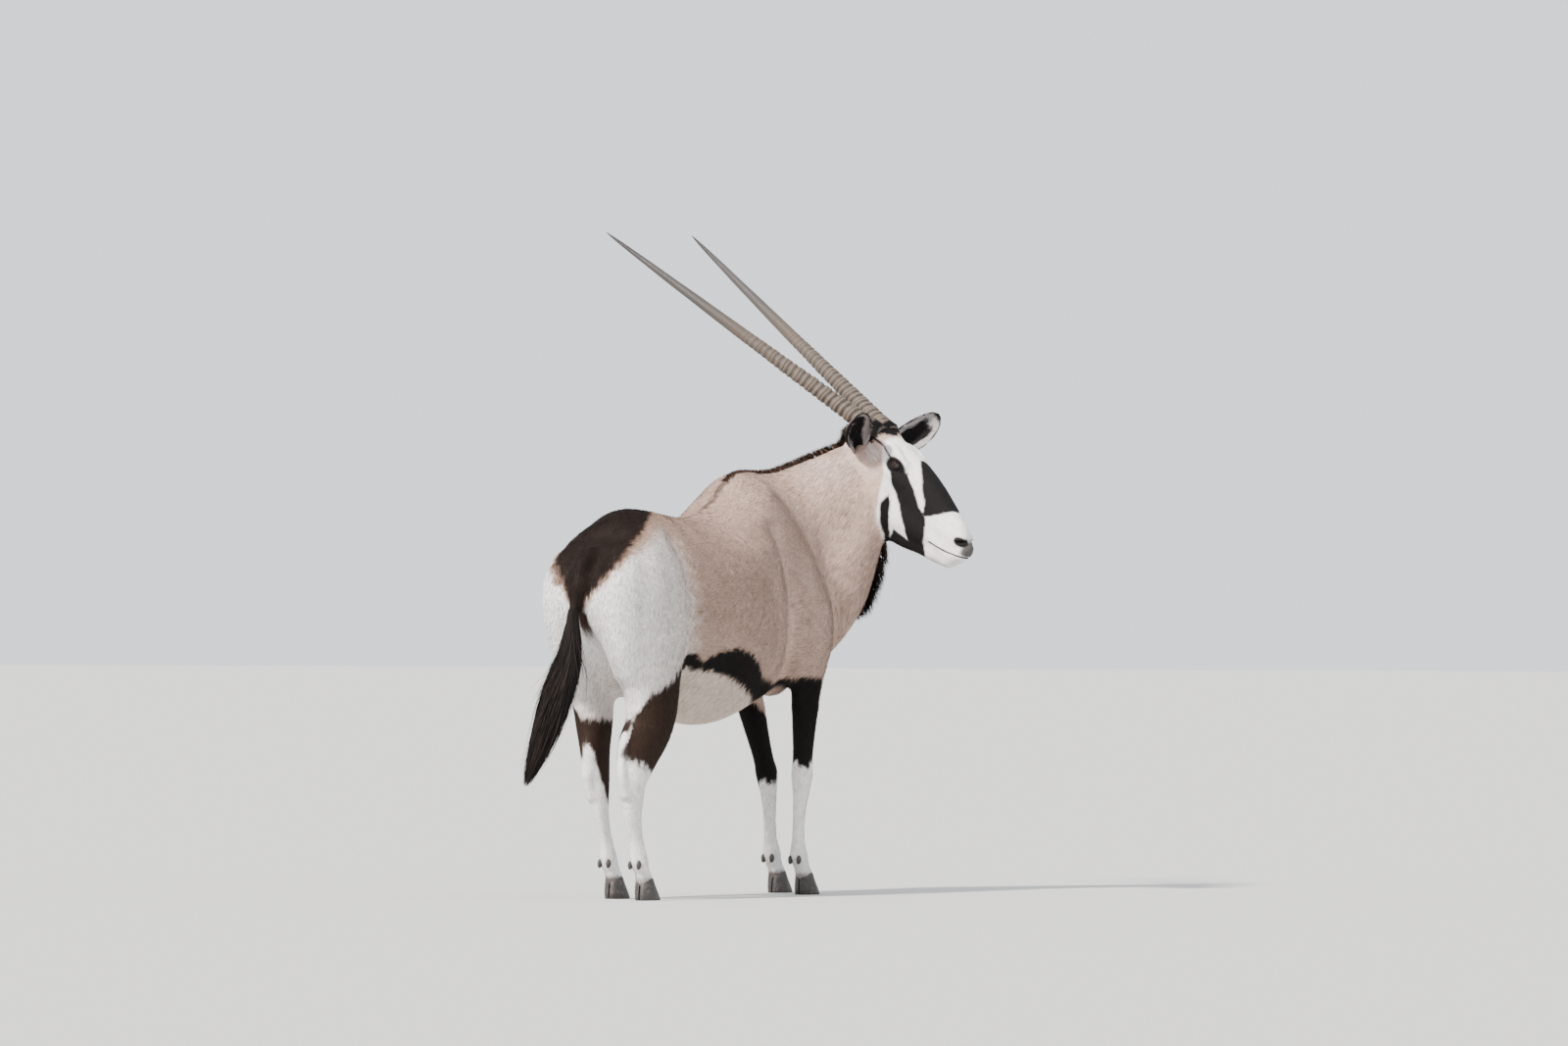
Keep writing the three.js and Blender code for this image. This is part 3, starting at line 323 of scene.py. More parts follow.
def both_sides(rows):
    one = Limb(rows)
    return lambda points: one(points * [1, 0, 1] + np.abs(points) * [0, 1, 0])


upper_head = Limb([
    [-8, 0, 0, 44, 44, 62],
    [40, 0, 8, 62, 68, 84],
    [100, 0, 14, 68, 74, 92],
    [165, 0, 12, 68, 76, 92],
    [230, 0, 4, 60, 80, 80],
    [300, 0, -6, 52, 76, 68],
    [360, 0, -16, 46, 68, 58],
    [415, 0, -26, 43, 61, 50],
    [455, 0, -36, 38, 50, 42],
    [476, 0, -40, 32, 38, 34],
], power=2.3)
jaw = Limb([
    [70, 0, -78, 40, 40, 50],
    [130, 0, -96, 45, 40, 58],
    [210, 0, -110, 40, 36, 62],
    [290, 0, -108, 33, 34, 54],
    [360, 0, -98, 28, 30, 42],
    [415, 0, -92, 29, 26, 34],
    [458, 0, -86, 28, 22, 26],
], power=2.2)
brow = both_sides([[128, 46, 66, 16, 16, 20], [160, 58, 68, 15, 14, 18], [196, 54, 58, 12, 12, 16]])
under_eye = both_sides([[130, 56, 20, 16, 18, 20], [175, 60, 14, 13, 13, 20], [220, 48, 8, 12, 12, 20]])
cheek = both_sides([
    [95, 40, -30, 26, 40, 46],
    [150, 44, -62, 24, 44, 50],
    [215, 36, -80, 20, 34, 40],
    [290, 28, -72, 19, 28, 32],
    [350, 24, -68, 17, 22, 24],
])
horn_seat = both_sides([[35, 38, 65, 35, 35, 34], [75, 32, 54, 32, 30, 30]])
nostril_flare = both_sides([[428, 22, -12, 16, 20, 16], [462, 22, -14, 16, 18, 16]])
upper_lip = both_sides([[350, 26, -62, 12, 16, 12], [420, 26, -66, 13, 16, 12], [466, 14, -66, 14, 16, 12]])


def lids(points):
    """The balls of the lids, round the eyes."""
    spot = np.array([EYE["along"], EYE["out"], EYE["up"]])
    return np.linalg.norm(points * [1, 0, 1] + np.abs(points) * [0, 1, 0] - spot, axis=1) - EYE["radius"] - EYE_SOCKET


head_flesh = flesh(
    (upper_head, 1), (jaw, 44), (cheek, 36), (brow, 16), (under_eye, 16),
    (horn_seat, 20), (nostril_flare, 16), (upper_lip, 14), (lids, 7),
)
HEAD_REACH = 620


def head(points):
    value = np.full(len(points), FAR)
    near = np.linalg.norm(points - from_head([230, 0, -30]), axis=1) < HEAD_REACH / 2 + 60
    value[near] = head_flesh(to_head(points[near]))
    return value


TAIL = [
    [-560, 0, 1000, 22, 22, 30],
    [-606, 0, 978, 26, 24, 28],
    [-640, 1, 930, 24, 23, 24],
    [-652, 3, 870, 20, 20, 20],
    [-664, 4, 770, 17, 17, 17],
    [-668, 5, 700, 12, 12, 12],
]
dock = Limb(TAIL)
body = flesh(
    (trunk, 1), (neck, 70), (throat, 60), (brisket, 50),
    (fore_legs["left"], 34), (fore_legs["right"], 34), (hind_forms["left"], 50), (hind_forms["right"], 50),
    (head, 30), (dock, 14),
)


def slope_of(field, points, step=1.0):
    """The direction in which a field grows at points, forward differences."""
    here = field(points)
    ways = [field(points + step * way) - here for way in np.eye(3)]
    return here, np.stack(ways, 1) / step


def draw_onto(field, points, depth, most, rounds=3):
    """Points moved along the field's slope to where it is minus the depth, by at most a distance."""
    start = points.copy()
    for _ in range(rounds):
        here, slope = slope_of(field, points)
        steep = np.maximum((slope**2).sum(1), 0.05)
        moved = points - slope * ((here + depth) / steep)[:, None] - start
        length = np.linalg.norm(moved, axis=1, keepdims=True)
        points = start + moved * np.minimum(1, most / np.maximum(length, 1e-9))
    return points


# Parts of the animal that its coat depends on
LEG_LINE = {name: {hand: np.array(rows[hand])[::-1] for hand in SIDES}
            for name, rows in (("fore", FORELEG), ("hind", HINDLEG))}


def leg_centre(name, hand, heights):
    rows = LEG_LINE[name][hand]
    return np.stack([np.interp(heights, rows[:, 2], rows[:, c]) for c in (0, 1)], 1)


def coat_depth(points):
    """How far the skin lies under the solids' surface: least on the face and the feet."""
    depth = 2.5 + 3.5 * smoothstep(330, 700, points[:, 2])
    on_face = smoothstep(-60, 60, to_head(points)[:, 0]) * (np.linalg.norm(points - HEAD_ORIGIN, axis=1) < 640)
    return depth + (1.6 - depth) * on_face


# The skin
CELL = 8.0
BLOCK = 4
GRID_LOW = np.array([-716.0, -612.0, 12.0])
GRID_HIGH = np.array([716.0, 244.0, 1446.0])


def sample_grid(field):
    """The field on a fine grid, worked out only near its surface."""
    blocks = np.ceil((GRID_HIGH - GRID_LOW) / (CELL * BLOCK)).astype(int)
    corner = np.stack(np.meshgrid(*[np.arange(n + 1) for n in blocks], indexing="ij"), -1)
    coarse = field((GRID_LOW + corner * CELL * BLOCK).reshape(-1, 3)).reshape(corner.shape[:3])
    near = np.zeros(blocks, bool)
    for i in (0, 1):
        for j in (0, 1):
            for k in (0, 1):
                part = coarse[i:i + blocks[0], j:j + blocks[1], k:k + blocks[2]]
                near |= np.abs(part) < CELL * BLOCK * 1.4
    fine_shape = blocks * BLOCK + 1
    values = np.repeat(np.repeat(np.repeat(np.sign(coarse[:-1, :-1, :-1]), BLOCK, 0), BLOCK, 1), BLOCK, 2)
    values = np.pad(values, [(0, 1)] * 3, mode="edge") * FAR
    wanted = np.zeros(fine_shape, bool)
    at = np.argwhere(near) * BLOCK
    for step in np.ndindex(BLOCK + 1, BLOCK + 1, BLOCK + 1):
        wanted[tuple((at + step).T)] = True
    spots = np.argwhere(wanted)
    values[wanted] = field(GRID_LOW + spots * CELL)
    return values


def surface_net(values):
    """One point in each cell that the surface crosses, and one quad round each crossed edge."""
    shape = np.array(values.shape)
    sums = np.zeros((*(shape - 1), 3))
    counts = np.zeros(shape - 1)
    crossings = []
    for axis in range(3):
        a, b = np.take(values, range(shape[axis] - 1), axis), np.take(values, range(1, shape[axis]), axis)
        spots = np.argwhere((a < 0) != (b < 0))
        u, v = (axis + 1) % 3, (axis + 2) % 3
        inner = (spots[:, u] > 0) & (spots[:, v] > 0) & (spots[:, u] < shape[u] - 1) & (spots[:, v] < shape[v] - 1)
        spots = spots[inner]
        start, end = a[tuple(spots.T)], b[tuple(spots.T)]
        point = spots.astype(float)
        point[:, axis] += start / (start - end)
        for du, dv in ((0, 0), (1, 0), (1, 1), (0, 1)):
            cell = spots.copy()
            cell[:, u] -= du
            cell[:, v] -= dv
            np.add.at(sums, tuple(cell.T), point)
            np.add.at(counts, tuple(cell.T), 1)
        crossings.append((spots, u, v, end < 0))
    used = np.argwhere(counts > 0)
    number = np.full(counts.shape, -1)
    number[tuple(used.T)] = np.arange(len(used))
    points = sums[tuple(used.T)] / counts[tuple(used.T)][:, None]
    quads = []
    for spots, u, v, inward in crossings:
        ring = []
        for du, dv in ((0, 0), (1, 0), (1, 1), (0, 1)):
            cell = spots.copy()
            cell[:, u] -= du
            cell[:, v] -= dv
            ring.append(number[tuple(cell.T)])
        ring = np.stack(ring, 1)
        ring[inward] = ring[inward][:, ::-1]
        quads.append(ring)
    return GRID_LOW + points * CELL, np.concatenate(quads)


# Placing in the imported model's frame
def eye_spots():
    return from_head([[EYE["along"], side * EYE["out"], EYE["up"]] for side in (1, -1)])


packed_eyes = [(low + high) / 2 for low, high in (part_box("eye_left"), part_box("eye_right"))]
SHIFT = np.mean([list(spot) for spot in packed_eyes], axis=0) - eye_spots().mean(0) / 1000


def in_frame(points):
    return np.asarray(points, float) / 1000 + SHIFT


def in_animal(mesh):
    """A mesh's vertices in the animal's own frame, in millimetres."""
    places = np.empty(len(mesh.vertices) * 3)
    mesh.vertices.foreach_get("co", places)
    return (places.reshape(-1, 3) - SHIFT) * 1000


def put_back(mesh, points):
    mesh.vertices.foreach_set("co", in_frame(points).ravel())
    mesh.update()


def normals_of(mesh):
    normals = np.empty(len(mesh.vertices) * 3)
    mesh.vertex_normals.foreach_get("vector", normals)
    return normals.reshape(-1, 3)


def new_object(name, points, faces):
    """An object from points and faces with the same number of corners each."""
    mesh = bpy.data.meshes.new(name)
    places = in_frame(points)
    mesh.vertices.add(len(places))
    mesh.vertices.foreach_set("co", places.ravel())
    corners = faces.shape[1]
    mesh.loops.add(faces.size)
    mesh.loops.foreach_set("vertex_index", faces.ravel())
    mesh.polygons.add(len(faces))
    mesh.polygons.foreach_set("loop_start", np.arange(len(faces)) * corners)
    mesh.polygons.foreach_set("loop_total", np.full(len(faces), corners))
    mesh.update(calc_edges=True)
    made = bpy.data.objects.new(name, mesh)
    bpy.context.scene.collection.objects.link(made)
    return made


def only(made):
    """Leaves one object selected and active."""
    bpy.ops.object.select_all(action="DESELECT")
    made.select_set(True)
    bpy.context.view_layer.objects.active = made


def subdivide_where(made, chosen):
    """Cuts the faces whose middles are chosen once each way."""
    only(made)
    mesh = made.data
    middles = np.empty(len(mesh.polygons) * 3)
    mesh.polygons.foreach_get("center", middles)
    pick = chosen((middles.reshape(-1, 3) - SHIFT) * 1000)
    mesh.polygons.foreach_set("select", pick)
    bpy.ops.object.mode_set(mode="EDIT")
    bpy.ops.mesh.select_mode(type="FACE")
    bpy.ops.object.mode_set(mode="OBJECT")
    mesh.polygons.foreach_set("select", pick)
    bpy.ops.object.mode_set(mode="EDIT")
    bpy.ops.mesh.subdivide(number_cuts=1)
    bpy.ops.mesh.select_all(action="DESELECT")
    bpy.ops.object.mode_set(mode="OBJECT")


def on_head(points):
    local = to_head(points)
    return (local[:, 0] > -20) & (np.abs(local[:, 1]) < 110) & (np.abs(local[:, 2]) < 220)


def on_head_skin(points):
    """The head's own skin, without the neck behind it."""
    near = on_head(points)
    near[near] = head_flesh(to_head(points[near])) < 14
    return near


def fine_face(points):
    """Round the eyes, the nostrils and the mouth."""
    along, out, up = to_head(points).T
    eyes = (along - EYE["along"]) ** 2 + (up - EYE["up"]) ** 2 < 34**2
    nose = (along > 440) & (up < 40)
    lips = (np.abs(up - mouth_line(along)) < 9) & (along > MOUTH["corner"] - 12)
    return on_head(points) & ((eyes & (np.abs(out) > 40)) | nose | lips)


def mouth_line(along):
    share = np.clip((along - MOUTH["corner"]) / (MOUTH["front"] - MOUTH["corner"]), 0, 1)
    return MOUTH["up"] + MOUTH["drop"] * np.sin(np.pi * share) + MOUTH["rise"] * share


def shape_face(points):
    """The openings of the eyes, the nostrils and the groove of the mouth, pressed into the skin."""
    local = to_head(points)
    along, out, up = local.T
    side = np.sign(out)
    tilt = (math.cos(EYE["slant"]), math.sin(EYE["slant"]))
    ahead, above = along - EYE["along"], up - EYE["up"]
    long_way, high_way = ahead * tilt[0] + above * tilt[1], above * tilt[0] - ahead * tilt[1]
    share = np.clip(1 - (2 * long_way / EYE["length"]) ** 2, 0, 1)
    opening = EYE["height"] / 2 * share**0.7 - np.abs(high_way)
    by_eye = (np.abs(ahead) < 24) & (np.abs(above) < 24) & (np.abs(out) > 38)
    sink = np.where(by_eye, smoothstep(-1.2, 0.8, opening), 0)
    eye = np.stack([np.full_like(side, EYE["along"]), side * EYE["out"], np.full_like(side, EYE["up"])], 1)
    way = unit(local - eye)
    inside = eye + way * (EYE["radius"] - 3.5)
    local = local + sink[:, None] * (inside - local)
    rim = np.where(by_eye, np.exp(-((opening + 2.4) / 1.7) ** 2), 0)
    local = local + (1.1 * rim)[:, None] * way

    ahead, above = along - NOSTRIL["along"], up - NOSTRIL["up"]
    tilt = (math.cos(NOSTRIL["slant"]), math.sin(NOSTRIL["slant"]))
    long_way, high_way = ahead * tilt[0] + above * tilt[1], above * tilt[0] - ahead * tilt[1]
    wide = 1 - (long_way / 14) ** 2 - ((high_way - 2.5 * (long_way / 14) ** 2) / 6) ** 2
    hole = smoothstep(0, 0.9, wide) * (np.abs(out) > 12)
    flare = np.exp(-(((wide + 0.45) / 0.5) ** 2)) * (np.abs(out) > 12) * (along > 445)
    local[:, 1] -= side * (11 * hole - 1.3 * flare)
    local[:, 0] -= 3 * hole

    near_line = np.exp(-(((up - mouth_line(along)) / 2.1) ** 2))
    open_part = smoothstep(MOUTH["corner"] - 6, MOUTH["corner"] + 14, along)
    middle = np.stack([along * 0 + np.minimum(along, 470), out * 0, mouth_line(along)], 1)
    groove = 4.2 * near_line * open_part
    local = local - unit((local - middle) * [1, 1, 0]) * groove[:, None]
    philtrum = np.exp(-((out / 2.2) ** 2)) * smoothstep(476, 496, along) * smoothstep(-52, -40, up) * (up < 0)
    local[:, 0] -= 2.2 * philtrum
    return from_head(local)


# Noise that is the same each run: sums of waves in many directions
WAVES = unit(rng.normal(size=(24, 3)))
PHASES = rng.uniform(0, 2 * np.pi, 24)


def noise(points, size, first=0, count=6):
    """Smooth random values from about minus one to one, with lumps of a size in millimetres."""
    total = 0
    for i in range(first, first + count):
        wave = WAVES[i % len(WAVES)] * (2 * np.pi / size) * (0.7 + 0.15 * (i - first))
        total = total + np.sin(points @ wave + PHASES[i % len(WAVES)])
    return total / math.sqrt(count * 1.2)


# Colours of the coat, as seen in the photograph
def linear(red, green, blue):
    """A screen colour, 0 to 255, as linear light."""
    share = np.array([red, green, blue]) / 255
    return np.where(share <= 0.04045, share / 12.92, ((share + 0.055) / 1.055) ** 2.4)


FAWN = linear(184, 157, 143)
FAWN_DARK = linear(148, 121, 106)
FAWN_PALE = linear(210, 188, 178)
CROUP = linear(158, 130, 114)
RUMP = linear(30, 21, 18)
WHITE = linear(238, 233, 231)
THIGH = linear(224, 214, 209)
BELLY_IN_SHADE = linear(206, 190, 177)
BLACK = linear(15, 12, 11)
BLAZE = linear(22, 19, 20)
BROWN = linear(58, 43, 35)
NOSE = linear(30, 27, 26)
CHIN = linear(200, 190, 186)
EAR_BACK = linear(142, 124, 114)
EAR_PALE = linear(176, 168, 168)

PATCH_LINE = ([-330, -283, -211, -150, -125, -100], [855, 914, 986, 1066, 1120, 1170])
FLANK_UPPER = ([-264, -222, -177, -76, 10, 134, 278, 330], [716, 690, 711, 727, 710, 645, 625, 641])
FLANK_LOWER = ([-264, -182, -82, 79, 180, 340], [668, 664, 644, 597, 571, 560])
BAND_UPPER = ([-92, -84, -77, -58, 58, 187], [440, 468, 534, 604, 655, 716])
BAND_LOWER = ([-74, 6, 60], [418, 383, 372])
THROAT_LINE = np.array([
    [606, -290, 1130], [617, -289, 1080], [623, -286, 1030], [627, -270, 980], [633, -247, 930], [632, -210, 880],
    [612, -140, 815], [572, -60, 768], [520, -14, 706], [430, 0, 632], [330, 0, 584],
], float)
NAPE_LINE = np.array([
    [-310, 0, 1131], [-190, 0, 1116], [-60, 0, 1109], [60, 0, 1148], [150, 0, 1210],
    [215, 0, 1240], [300, -2, 1246], [380, -12, 1256], [450, -45, 1286], [510, -92, 1318], [556, -140, 1350],
    [596, -180, 1392],
], float)
STRIPE_BACK = ([-156, -121, -91, -66, -42, -11, 20, 45], [276, 326, 302, 272, 244, 201, 174, 160])
STRIPE_FRONT = ([-118, -89, -54, -25, -12, 17, 40], [397, 376, 364, 344, 310, 269, 224])
BLAZE_SIDE = ([212, 228, 262, 313, 331], [7, 16.5, 29, 57, 92])
BLAZE_END = ([0, 36.5, 66.5, 98], [401, 384, 359, 336])


def mix(base, colour, share):
    return base + (colour - base) * np.clip(share, 0, 1)[:, None]


def near_line(points, line):
    """The distance of points from a line through places."""
    best = np.full(len(points), FAR)
    for a, b in zip(line[:-1], line[1:]):
        step = b - a
        share = np.clip((points - a) @ step / (step @ step), 0, 1)
        best = np.minimum(best, np.linalg.norm(points - a - share[:, None] * step, axis=1))
    return best


def coat_colour(points):
    """The colour of the coat at points on the skin, in linear light, with painted shade on the barrel, the belly and
    beside the tail, and painted light on the upper neck.
    """
    rough = noise(points, 26)
    fine = noise(points, 9, first=6)
    ragged = 4.5 * rough + 2.5 * fine
    x, y, z = points.T
    colour = np.tile(FAWN, (len(points), 1))
    # Painted shade: the barrel and the hindquarters darker fawn, as form shade under the key light
    colour = mix(colour, FAWN_DARK, 0.55 * smoothstep(260, -60, x) * smoothstep(600, 900, z))
    # Painted light: the upper neck paler, where the key light falls on its top
    colour = mix(colour, FAWN_PALE, 0.5 * smoothstep(330, 480, x) * smoothstep(1120, 1250, z))
    colour = mix(colour, FAWN_DARK, 0.16 * (noise(points, 120, first=3) + 1))

    # The croup, the pale buttock and thigh, and the dark patch round the tail
    patch_edge = z - np.interp(0.53 * x + 0.85 * np.abs(y), *PATCH_LINE) + 1.6 * ragged
    colour = mix(colour, CROUP, smoothstep(-150, 10, patch_edge) * smoothstep(-230, -330, x))
    fade = np.interp(x, [-600, -520, -420, -330], [34, 80, 150, 200])
    pale = smoothstep(-236, -392, x + 0.15 * (z - 850) + 5 * ragged) * smoothstep(-0.2, -1, patch_edge / fade)
    pale = pale * smoothstep(420, 470, z)
    colour = mix(colour, THIGH, pale)
    colour = mix(colour, WHITE, pale * smoothstep(-450, -560, x))
    colour = mix(colour, RUMP, smoothstep(-22, 18, patch_edge) * (x < -120) * (z > 800))
    # A brown strip beside the tail: partly the dark crease between the buttocks, partly the tail's shadow painted in
    tail_shadow_and_crease = smoothstep(26, 12, np.abs(y)) * smoothstep(-430, -520, x) * smoothstep(740, 800, z)
    colour = mix(colour, BROWN, tail_shadow_and_crease * (z < 960))

    # The belly, its white painted tan as shade under the body, and the stripe along the flank
    trunk_side = (x > -300) & (x < 420)
    upper = np.interp(x, *FLANK_UPPER) + ragged
    lower = np.interp(x, *FLANK_LOWER) + ragged
    # Painted shade: the white belly below the flank stripe coloured tan-grey
    colour = mix(colour, BELLY_IN_SHADE, smoothstep(6, -6, z - lower) * trunk_side)
    stripe = smoothstep(-7, 7, upper - z) * smoothstep(-7, 7, z - lower) * smoothstep(50, 80, np.abs(y)) * trunk_side
    colour = mix(colour, BLACK, stripe)

    # The legs
    for hand, side in SIDES.items():
        fore = fore_legs[hand](points)
        mine = (fore < 16) & (z < 700)
        axis = leg_centre("fore", hand, z)
        ahead = x - axis[:, 0]
        colour = mix(colour, WHITE, mine * smoothstep(6, -6, z - 420))
        top = 641 - 0.6 * (x - 311) + 14 * (side > 0) + ragged
        foot = (385 if hand == "right" else 333) + 10 * np.sin(ahead / 9) + 2 * ragged
        colour = mix(colour, BLACK, mine * smoothstep(-8, 8, top - z) * smoothstep(-6, 6, z - foot))
        shin = smoothstep(4, 12, ahead + 0.6 * ragged) * smoothstep(120, 190, z) * smoothstep(330, 285, z)
        colour = mix(colour, BROWN, 0.9 * mine * shin)

        hind = hind_legs[hand](points)
        mine = (hind < 22) & (z < 760)
        axis = leg_centre("hind", hand, z)
        ahead, outer = x - axis[:, 0], side * (y - axis[:, 1])
        colour = mix(colour, WHITE, mine * smoothstep(8, -8, z - 470))
        top = np.interp(ahead, *BAND_UPPER) + 1.4 * ragged
        foot = np.interp(ahead, *BAND_LOWER) + 1.4 * ragged
        band = smoothstep(-12, 12, top - z) * smoothstep(-10, 10, z - foot)
        inner_top = 528 + 1.4 * ragged
        inner_foot = 277 + 2.2 * np.abs(ahead - 6) + ragged
        inner_band = smoothstep(-12, 12, inner_top - z) * smoothstep(-10, 10, z - inner_foot)
        inside = smoothstep(4, -12, outer)
        colour = mix(colour, BROWN * 0.62, mine * (band * (1 - inside) + inner_band * inside))
        hoof_ring = smoothstep(74, 60, z)
        colour = mix(colour, BROWN, 0.7 * hoof_ring)

    # The lines down the throat and along the spine
    throat_wide = np.interp(z, [600, 760, 900, 1000, 1100], [16, 15, 19, 22, 15])
    colour = mix(colour, BLACK, smoothstep(5, -5, near_line(points, THROAT_LINE) - throat_wide + 0.6 * ragged))
    spine_wide = np.interp(x, [-310, 0, 200, 560], [20, 12, 12, 17])
    on_back = smoothstep(7, -7, near_line(points, NAPE_LINE) - spine_wide + 0.7 * ragged)
    colour = mix(colour, BROWN, 0.7 * on_back)

    # The dock
    on_dock = smoothstep(14, 4, dock(points)) * (z < 985) * (x < -585)
    colour = mix(colour, RUMP, on_dock)
    colour = face_colour(points, colour, ragged)
    return np.clip(colour * (1 + 0.05 * rough + 0.04 * fine)[:, None], 0.002, 1)


def face_colour(points, colour, ragged):
    """The black and white face over the colour of the rest."""
    on_face = on_head(points)
    if not on_face.any():
        return colour
    part = points[on_face]
    ragged = 0.35 * ragged[on_face]
    along, out, up = to_head(part).T
    out = np.abs(out)
    angle = np.degrees(np.arctan2(out, up + 20))
    face = colour[on_face]

    hold = smoothstep(15, 7, head_flesh(to_head(part)))
    cheek_edge = np.interp(up, [-160, -70, -45, 5, 60], [232, 192, 178, 159, 96]) + ragged
    face = mix(face, WHITE, smoothstep(-5, 5, along - cheek_edge))
    back_band = np.interp(up, [-158, -114, -74, -40], [255, 221, 201, 205])
    front_band = np.interp(up, [-158, -96, -57, -40], [274, 245, 223, 206])
    band = smoothstep(-3, 3, along - back_band + ragged) * smoothstep(-3, 3, front_band - along + ragged)
    face = mix(face, BLACK, band * (up < -38))
    stripe = smoothstep(-3, 3, along - np.interp(up, *STRIPE_BACK) + ragged)
    stripe = stripe * smoothstep(-3, 3, np.interp(up, *STRIPE_FRONT) - along + ragged) * smoothstep(52, 40, up)
    face = mix(face, BLAZE, stripe * (out > 12))
    under = smoothstep(-3, 3, -118 - up + 0.3 * ragged) * (along > 270) * (along < 392) * (out > 14)
    face = mix(face, BLAZE, under)
    blaze = smoothstep(-2.5, 2.5, np.interp(along, *BLAZE_SIDE) - angle + 0.6 * ragged) * (along > 207)
    blaze = blaze * smoothstep(-3, 3, np.interp(angle, *BLAZE_END) - along + ragged)
    face = mix(face, BLAZE, blaze * (up > -60))
    crown_edge = np.interp(out, [0, 15, 55], [93, 89, 75]) + ragged
    on_crown = smoothstep(-3, 3, crown_edge - along) * smoothstep(30, 40, up + 0.35 * (60 - np.minimum(out, 60)))
    face = mix(face, BLAZE, on_crown * smoothstep(12, 30, along))
    brow_line = np.abs(up - np.interp(along, [75, 104, 140, 165], [62, 60, 52, 46]))
    face = mix(face, BLAZE, smoothstep(4.2, 1.8, brow_line) * (along > 70) * (along < 168) * (out > 38))
    from_eye = np.hypot((along - EYE["along"] - 4) / 33, (up - EYE["up"] + 3) / 23)
    face = mix(face, BLAZE, smoothstep(1.15, 0.9, from_eye) * (out > 38))
    face = mix(face, CHIN, smoothstep(-96, -112, up) * smoothstep(395, 430, along) * 0.7)
    nostril = np.hypot((along - NOSTRIL["along"]) / 19, (up - NOSTRIL["up"]) / 13)
    face = mix(face, NOSE, smoothstep(1.15, 0.85, nostril) * (out > 9))
    tip = smoothstep(474, 492, along + 0.3 * (up + 20)) * smoothstep(10, -6, up) * smoothstep(-50, -36, up)
    face = mix(face, NOSE, 0.92 * tip)
    lip = smoothstep(3.6, 1.6, np.abs(up - mouth_line(along))) * (along > MOUTH["corner"] - 4)
    face = mix(face, NOSE, lip)
    colour[on_face] = mix(colour[on_face], face, hold)
    return colour


def paint(made, name, colours):
    """Sets a colour at each vertex."""
    layer = made.data.color_attributes.new(name, "FLOAT_COLOR", "POINT")
    layer.data.foreach_set("color", np.column_stack([colours, np.ones(len(colours))]).ravel())
    made.data.color_attributes.active_color = layer


# Muscle lines on both sides: depth, width, and places in x and z
SMOOTH_ABOVE = 560
CREASES = [
    (4.5, 26, [(-330, 1040), (-300, 885), (-298, 690)]),
    (4.0, 24, [(185, 1075), (228, 885), (300, 665)]),
    (2.0, 34, [(430, 1090), (468, 960), (478, 850)]),
    (3.0, 26, [(585, 1190), (555, 1060), (520, 930)]),
    (3.5, 30, [(-500, 1010), (-545, 870), (-520, 700)]),
    (2.5, 20, [(-150, 1075), (40, 1040), (170, 1060)]),
]
RIB = {"depth": 0.4, "pitch": 52}


def relief(points):
    """How far the skin is pressed in: along the lines between muscles, and between the ribs."""
    x, y, z = points.T
    flat = points * [1, 0, 1]
    press = np.zeros(len(points))
    for depth, wide, line in CREASES:
        away = near_line(flat, np.array([(px, 0, pz) for px, pz in line], float))
        press += depth * (np.exp(-((away / wide) ** 2)) - 0.35 * np.exp(-(((away - 2.2 * wide) / wide) ** 2)))
    ribs = smoothstep(-230, -120, x) * smoothstep(210, 120, x) * smoothstep(720, 800, z) * smoothstep(1060, 960, z)
    press += RIB["depth"] * ribs * np.sin(2 * np.pi * (x - 0.22 * (z - 850)) / RIB["pitch"])
    return press * smoothstep(40, 90, np.abs(y)) * smoothstep(600, 680, z) * ~on_head(points)


def make_skin():
    values = sample_grid(body)
    points, quads = surface_net(values)
    points = draw_onto(body, points, coat_depth(points), CELL * 1.3)
    skin = new_object("skin", points, quads)
    only(skin)
    bpy.ops.object.mode_set(mode="EDIT")
    bpy.ops.mesh.select_all(action="SELECT")
    bpy.ops.mesh.normals_make_consistent(inside=False)
    skin.data.uv_layers.new(name="OFBake")
    bpy.ops.uv.smart_project(angle_limit=math.radians(66), island_margin=0.002)
    bpy.ops.mesh.select_all(action="DESELECT")
    bpy.ops.mesh.select_mode(type="VERT")
    bpy.ops.object.mode_set(mode="OBJECT")
    skin.data.vertices.foreach_set("select", ~on_head(points) & (points[:, 2] > SMOOTH_ABOVE))
    bpy.ops.object.mode_set(mode="EDIT")
    bpy.ops.mesh.vertices_smooth(factor=0.5, repeat=18)
    bpy.ops.mesh.select_all(action="DESELECT")
    bpy.ops.object.mode_set(mode="OBJECT")
    points = in_animal(skin.data)
    _, slope = slope_of(body, points)
    put_back(skin.data, points - unit(slope) * relief(points)[:, None])
    subdivide_where(skin, on_head_skin)
    subdivide_where(skin, fine_face)
    points = in_animal(skin.data)
    redrawn = on_head(points)
    points[redrawn] = draw_onto(body, points[redrawn], coat_depth(points[redrawn]), 4.0, rounds=3)
    points[redrawn] = shape_face(points[redrawn])
    put_back(skin.data, points)
    skin.data.shade_smooth()
    paint(skin, "coat", coat_colour(points))
    return skin


skin = make_skin()


# Materials
class Wire:
    """A shader socket with arithmetic: each operation adds a node."""

    def __init__(self, paint, socket):
        self.paint, self.socket = paint, socket

    def math(self, operation, *values):
        return self.paint.add("ShaderNodeMath", {"operation": operation}, *values)

    def __add__(self, other):
        return self.math("ADD", self, other)

    def __sub__(self, other):
        return self.math("SUBTRACT", self, other)

    def __rsub__(self, other):
        return self.math("SUBTRACT", other, self)

    def __mul__(self, other):
        return self.math("MULTIPLY", self, other)

    __radd__ = __add__
    __rmul__ = __mul__

    def smooth(self, low, high, start=0.0, end=1.0):
        settings = {"interpolation_type": "SMOOTHSTEP"}
        return self.paint.add("ShaderNodeMapRange", settings, self, low, high, start, end)


